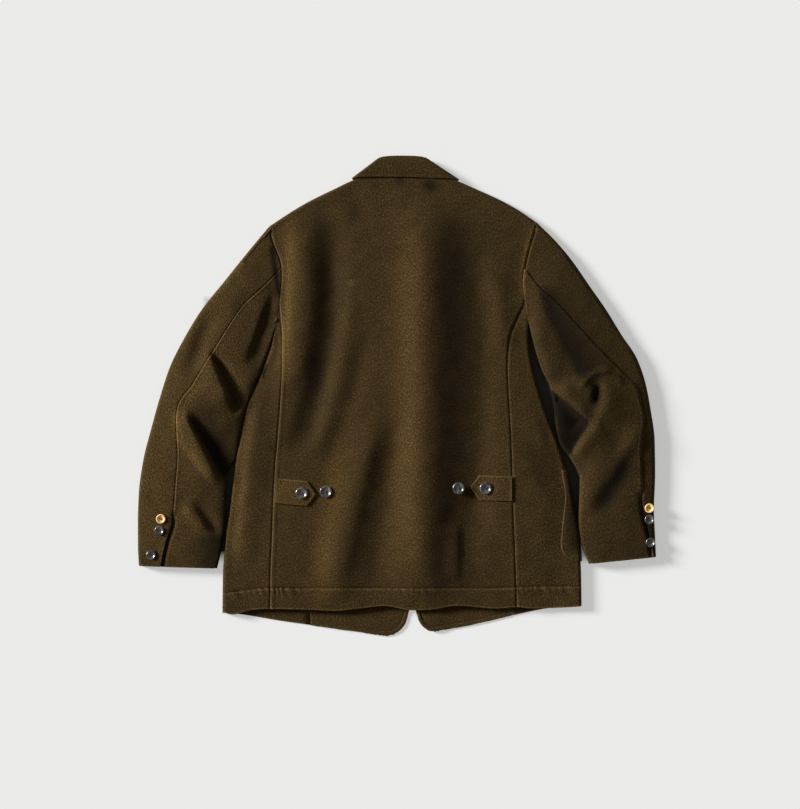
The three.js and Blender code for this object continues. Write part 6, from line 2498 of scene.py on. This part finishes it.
def nearest_sleeve_top(form: SleeveForm, x: float, y: float) -> float:
    """Works out the height of a sleeve's upper face over a plan point.

    Args:
        form: the sleeve.
        x: place across.
        y: place up the jacket.

    Returns:
        The height.
    """
    at, across = np.meshgrid(np.linspace(0.7, 1, 61), np.linspace(0.02, 0.98, 61))
    at, across = at.ravel(), across.ravel()
    px, py = form.plan(at, across, Face.UPPER)
    nearest = int(np.argmin((px - x) ** 2 + (py - y) ** 2))
    return float(form.top(at[nearest : nearest + 1], across[nearest : nearest + 1])[0])


# Flat sizes in metres and areas in square metres of the pieces that differ from side to side
SIDE_SIZES = {Side.LEFT: ((0.22, 0.5), 0.082), Side.RIGHT: ((0.225, 0.5), 0.083)}
FRONT_SIZES = {Side.LEFT: ((0.27, 0.72), 0.141), Side.RIGHT: ((0.25, 0.72), 0.121)}
UPPER_SIZES = {Side.LEFT: ((0.191, 0.62), 0.085), Side.RIGHT: ((0.202, 0.61), 0.078)}
UNDER_SIZES = {Side.LEFT: ((0.174, 0.52), 0.065), Side.RIGHT: ((0.208, 0.5), 0.07)}
# The radius of each front's lower corner and where it ends on the hem, in millimetres
FRONT_CORNERS = {Side.LEFT: (24.0, -18.0), Side.RIGHT: (20.0, 61.0)}
# Where the middle of each tab leaves the seam, in millimetres, and how it slopes
TAB_ROOTS = {Side.LEFT: ((-199.6, -155.0), -0.09), Side.RIGHT: ((188.0, -152.0), 0.03)}


def main() -> None:
    """Builds the jacket piece by piece, then the studio."""
    logging.basicConfig(level=logging.INFO, format="%(message)s")
    cloth = BrushedCloth().make()
    thread = Thread().make()
    seamwork = Seamwork(Topstitching(thread))
    back = BackPanel(cloth)
    back.build()
    seamwork.back_hem(back)
    for side in Side:
        word = side.name.lower()
        outer = (float(side.value), 0.3, 0.0)
        inner = (-float(side.value), -0.3, 0.0)
        flat, area = SIDE_SIZES[side]
        beside = (float(side.value), 0.0, 0.0)
        SidePanel(cloth, (f"side_panel_{word}",), flat, area, outward=beside, side=side).build()
        flat, area = FRONT_SIZES[side]
        radius, foot = FRONT_CORNERS[side]
        front = FrontPanel(cloth, (f"front_{word}",), flat, area, side=side, corner_radius=radius, foot=foot)
        front.build()
        seamwork.front(front)
        flat, area = UPPER_SIZES[side]
        upper = UpperSleeve(cloth, (f"upper_sleeve_{word}",), flat, area, outward=outer, side=side)
        upper.build()
        seamwork.cuff(upper)
        seamwork.vent(upper)
        flat, area = UNDER_SIZES[side]
        under = UnderSleeve(cloth, (f"under_sleeve_{word}",), flat, area, outward=inner, side=side)
        under.build()
        seamwork.cuff(under)
        root, slope = TAB_ROOTS[side]
        tab = WaistTab(cloth, (f"tab_{word}",), side=side, root=root, slope=slope)
        tab.build()
        seamwork.tab(tab)
        rows = POCKET_ROWS[side]
        pocket = PatchPocket(cloth, (f"pocket_{word}",), side=side, rows=rows, top=rows[-1][0])
        pocket.build()
        seamwork.pocket(pocket)
    collar = Collar(cloth)
    collar.build()
    seamwork.collar(collar)
    seamwork.stitching.build()
    Buttons(Horn().make(), PaleWood().make(), thread).build()
    Studio().build()


if __name__ == "__main__":
    main()
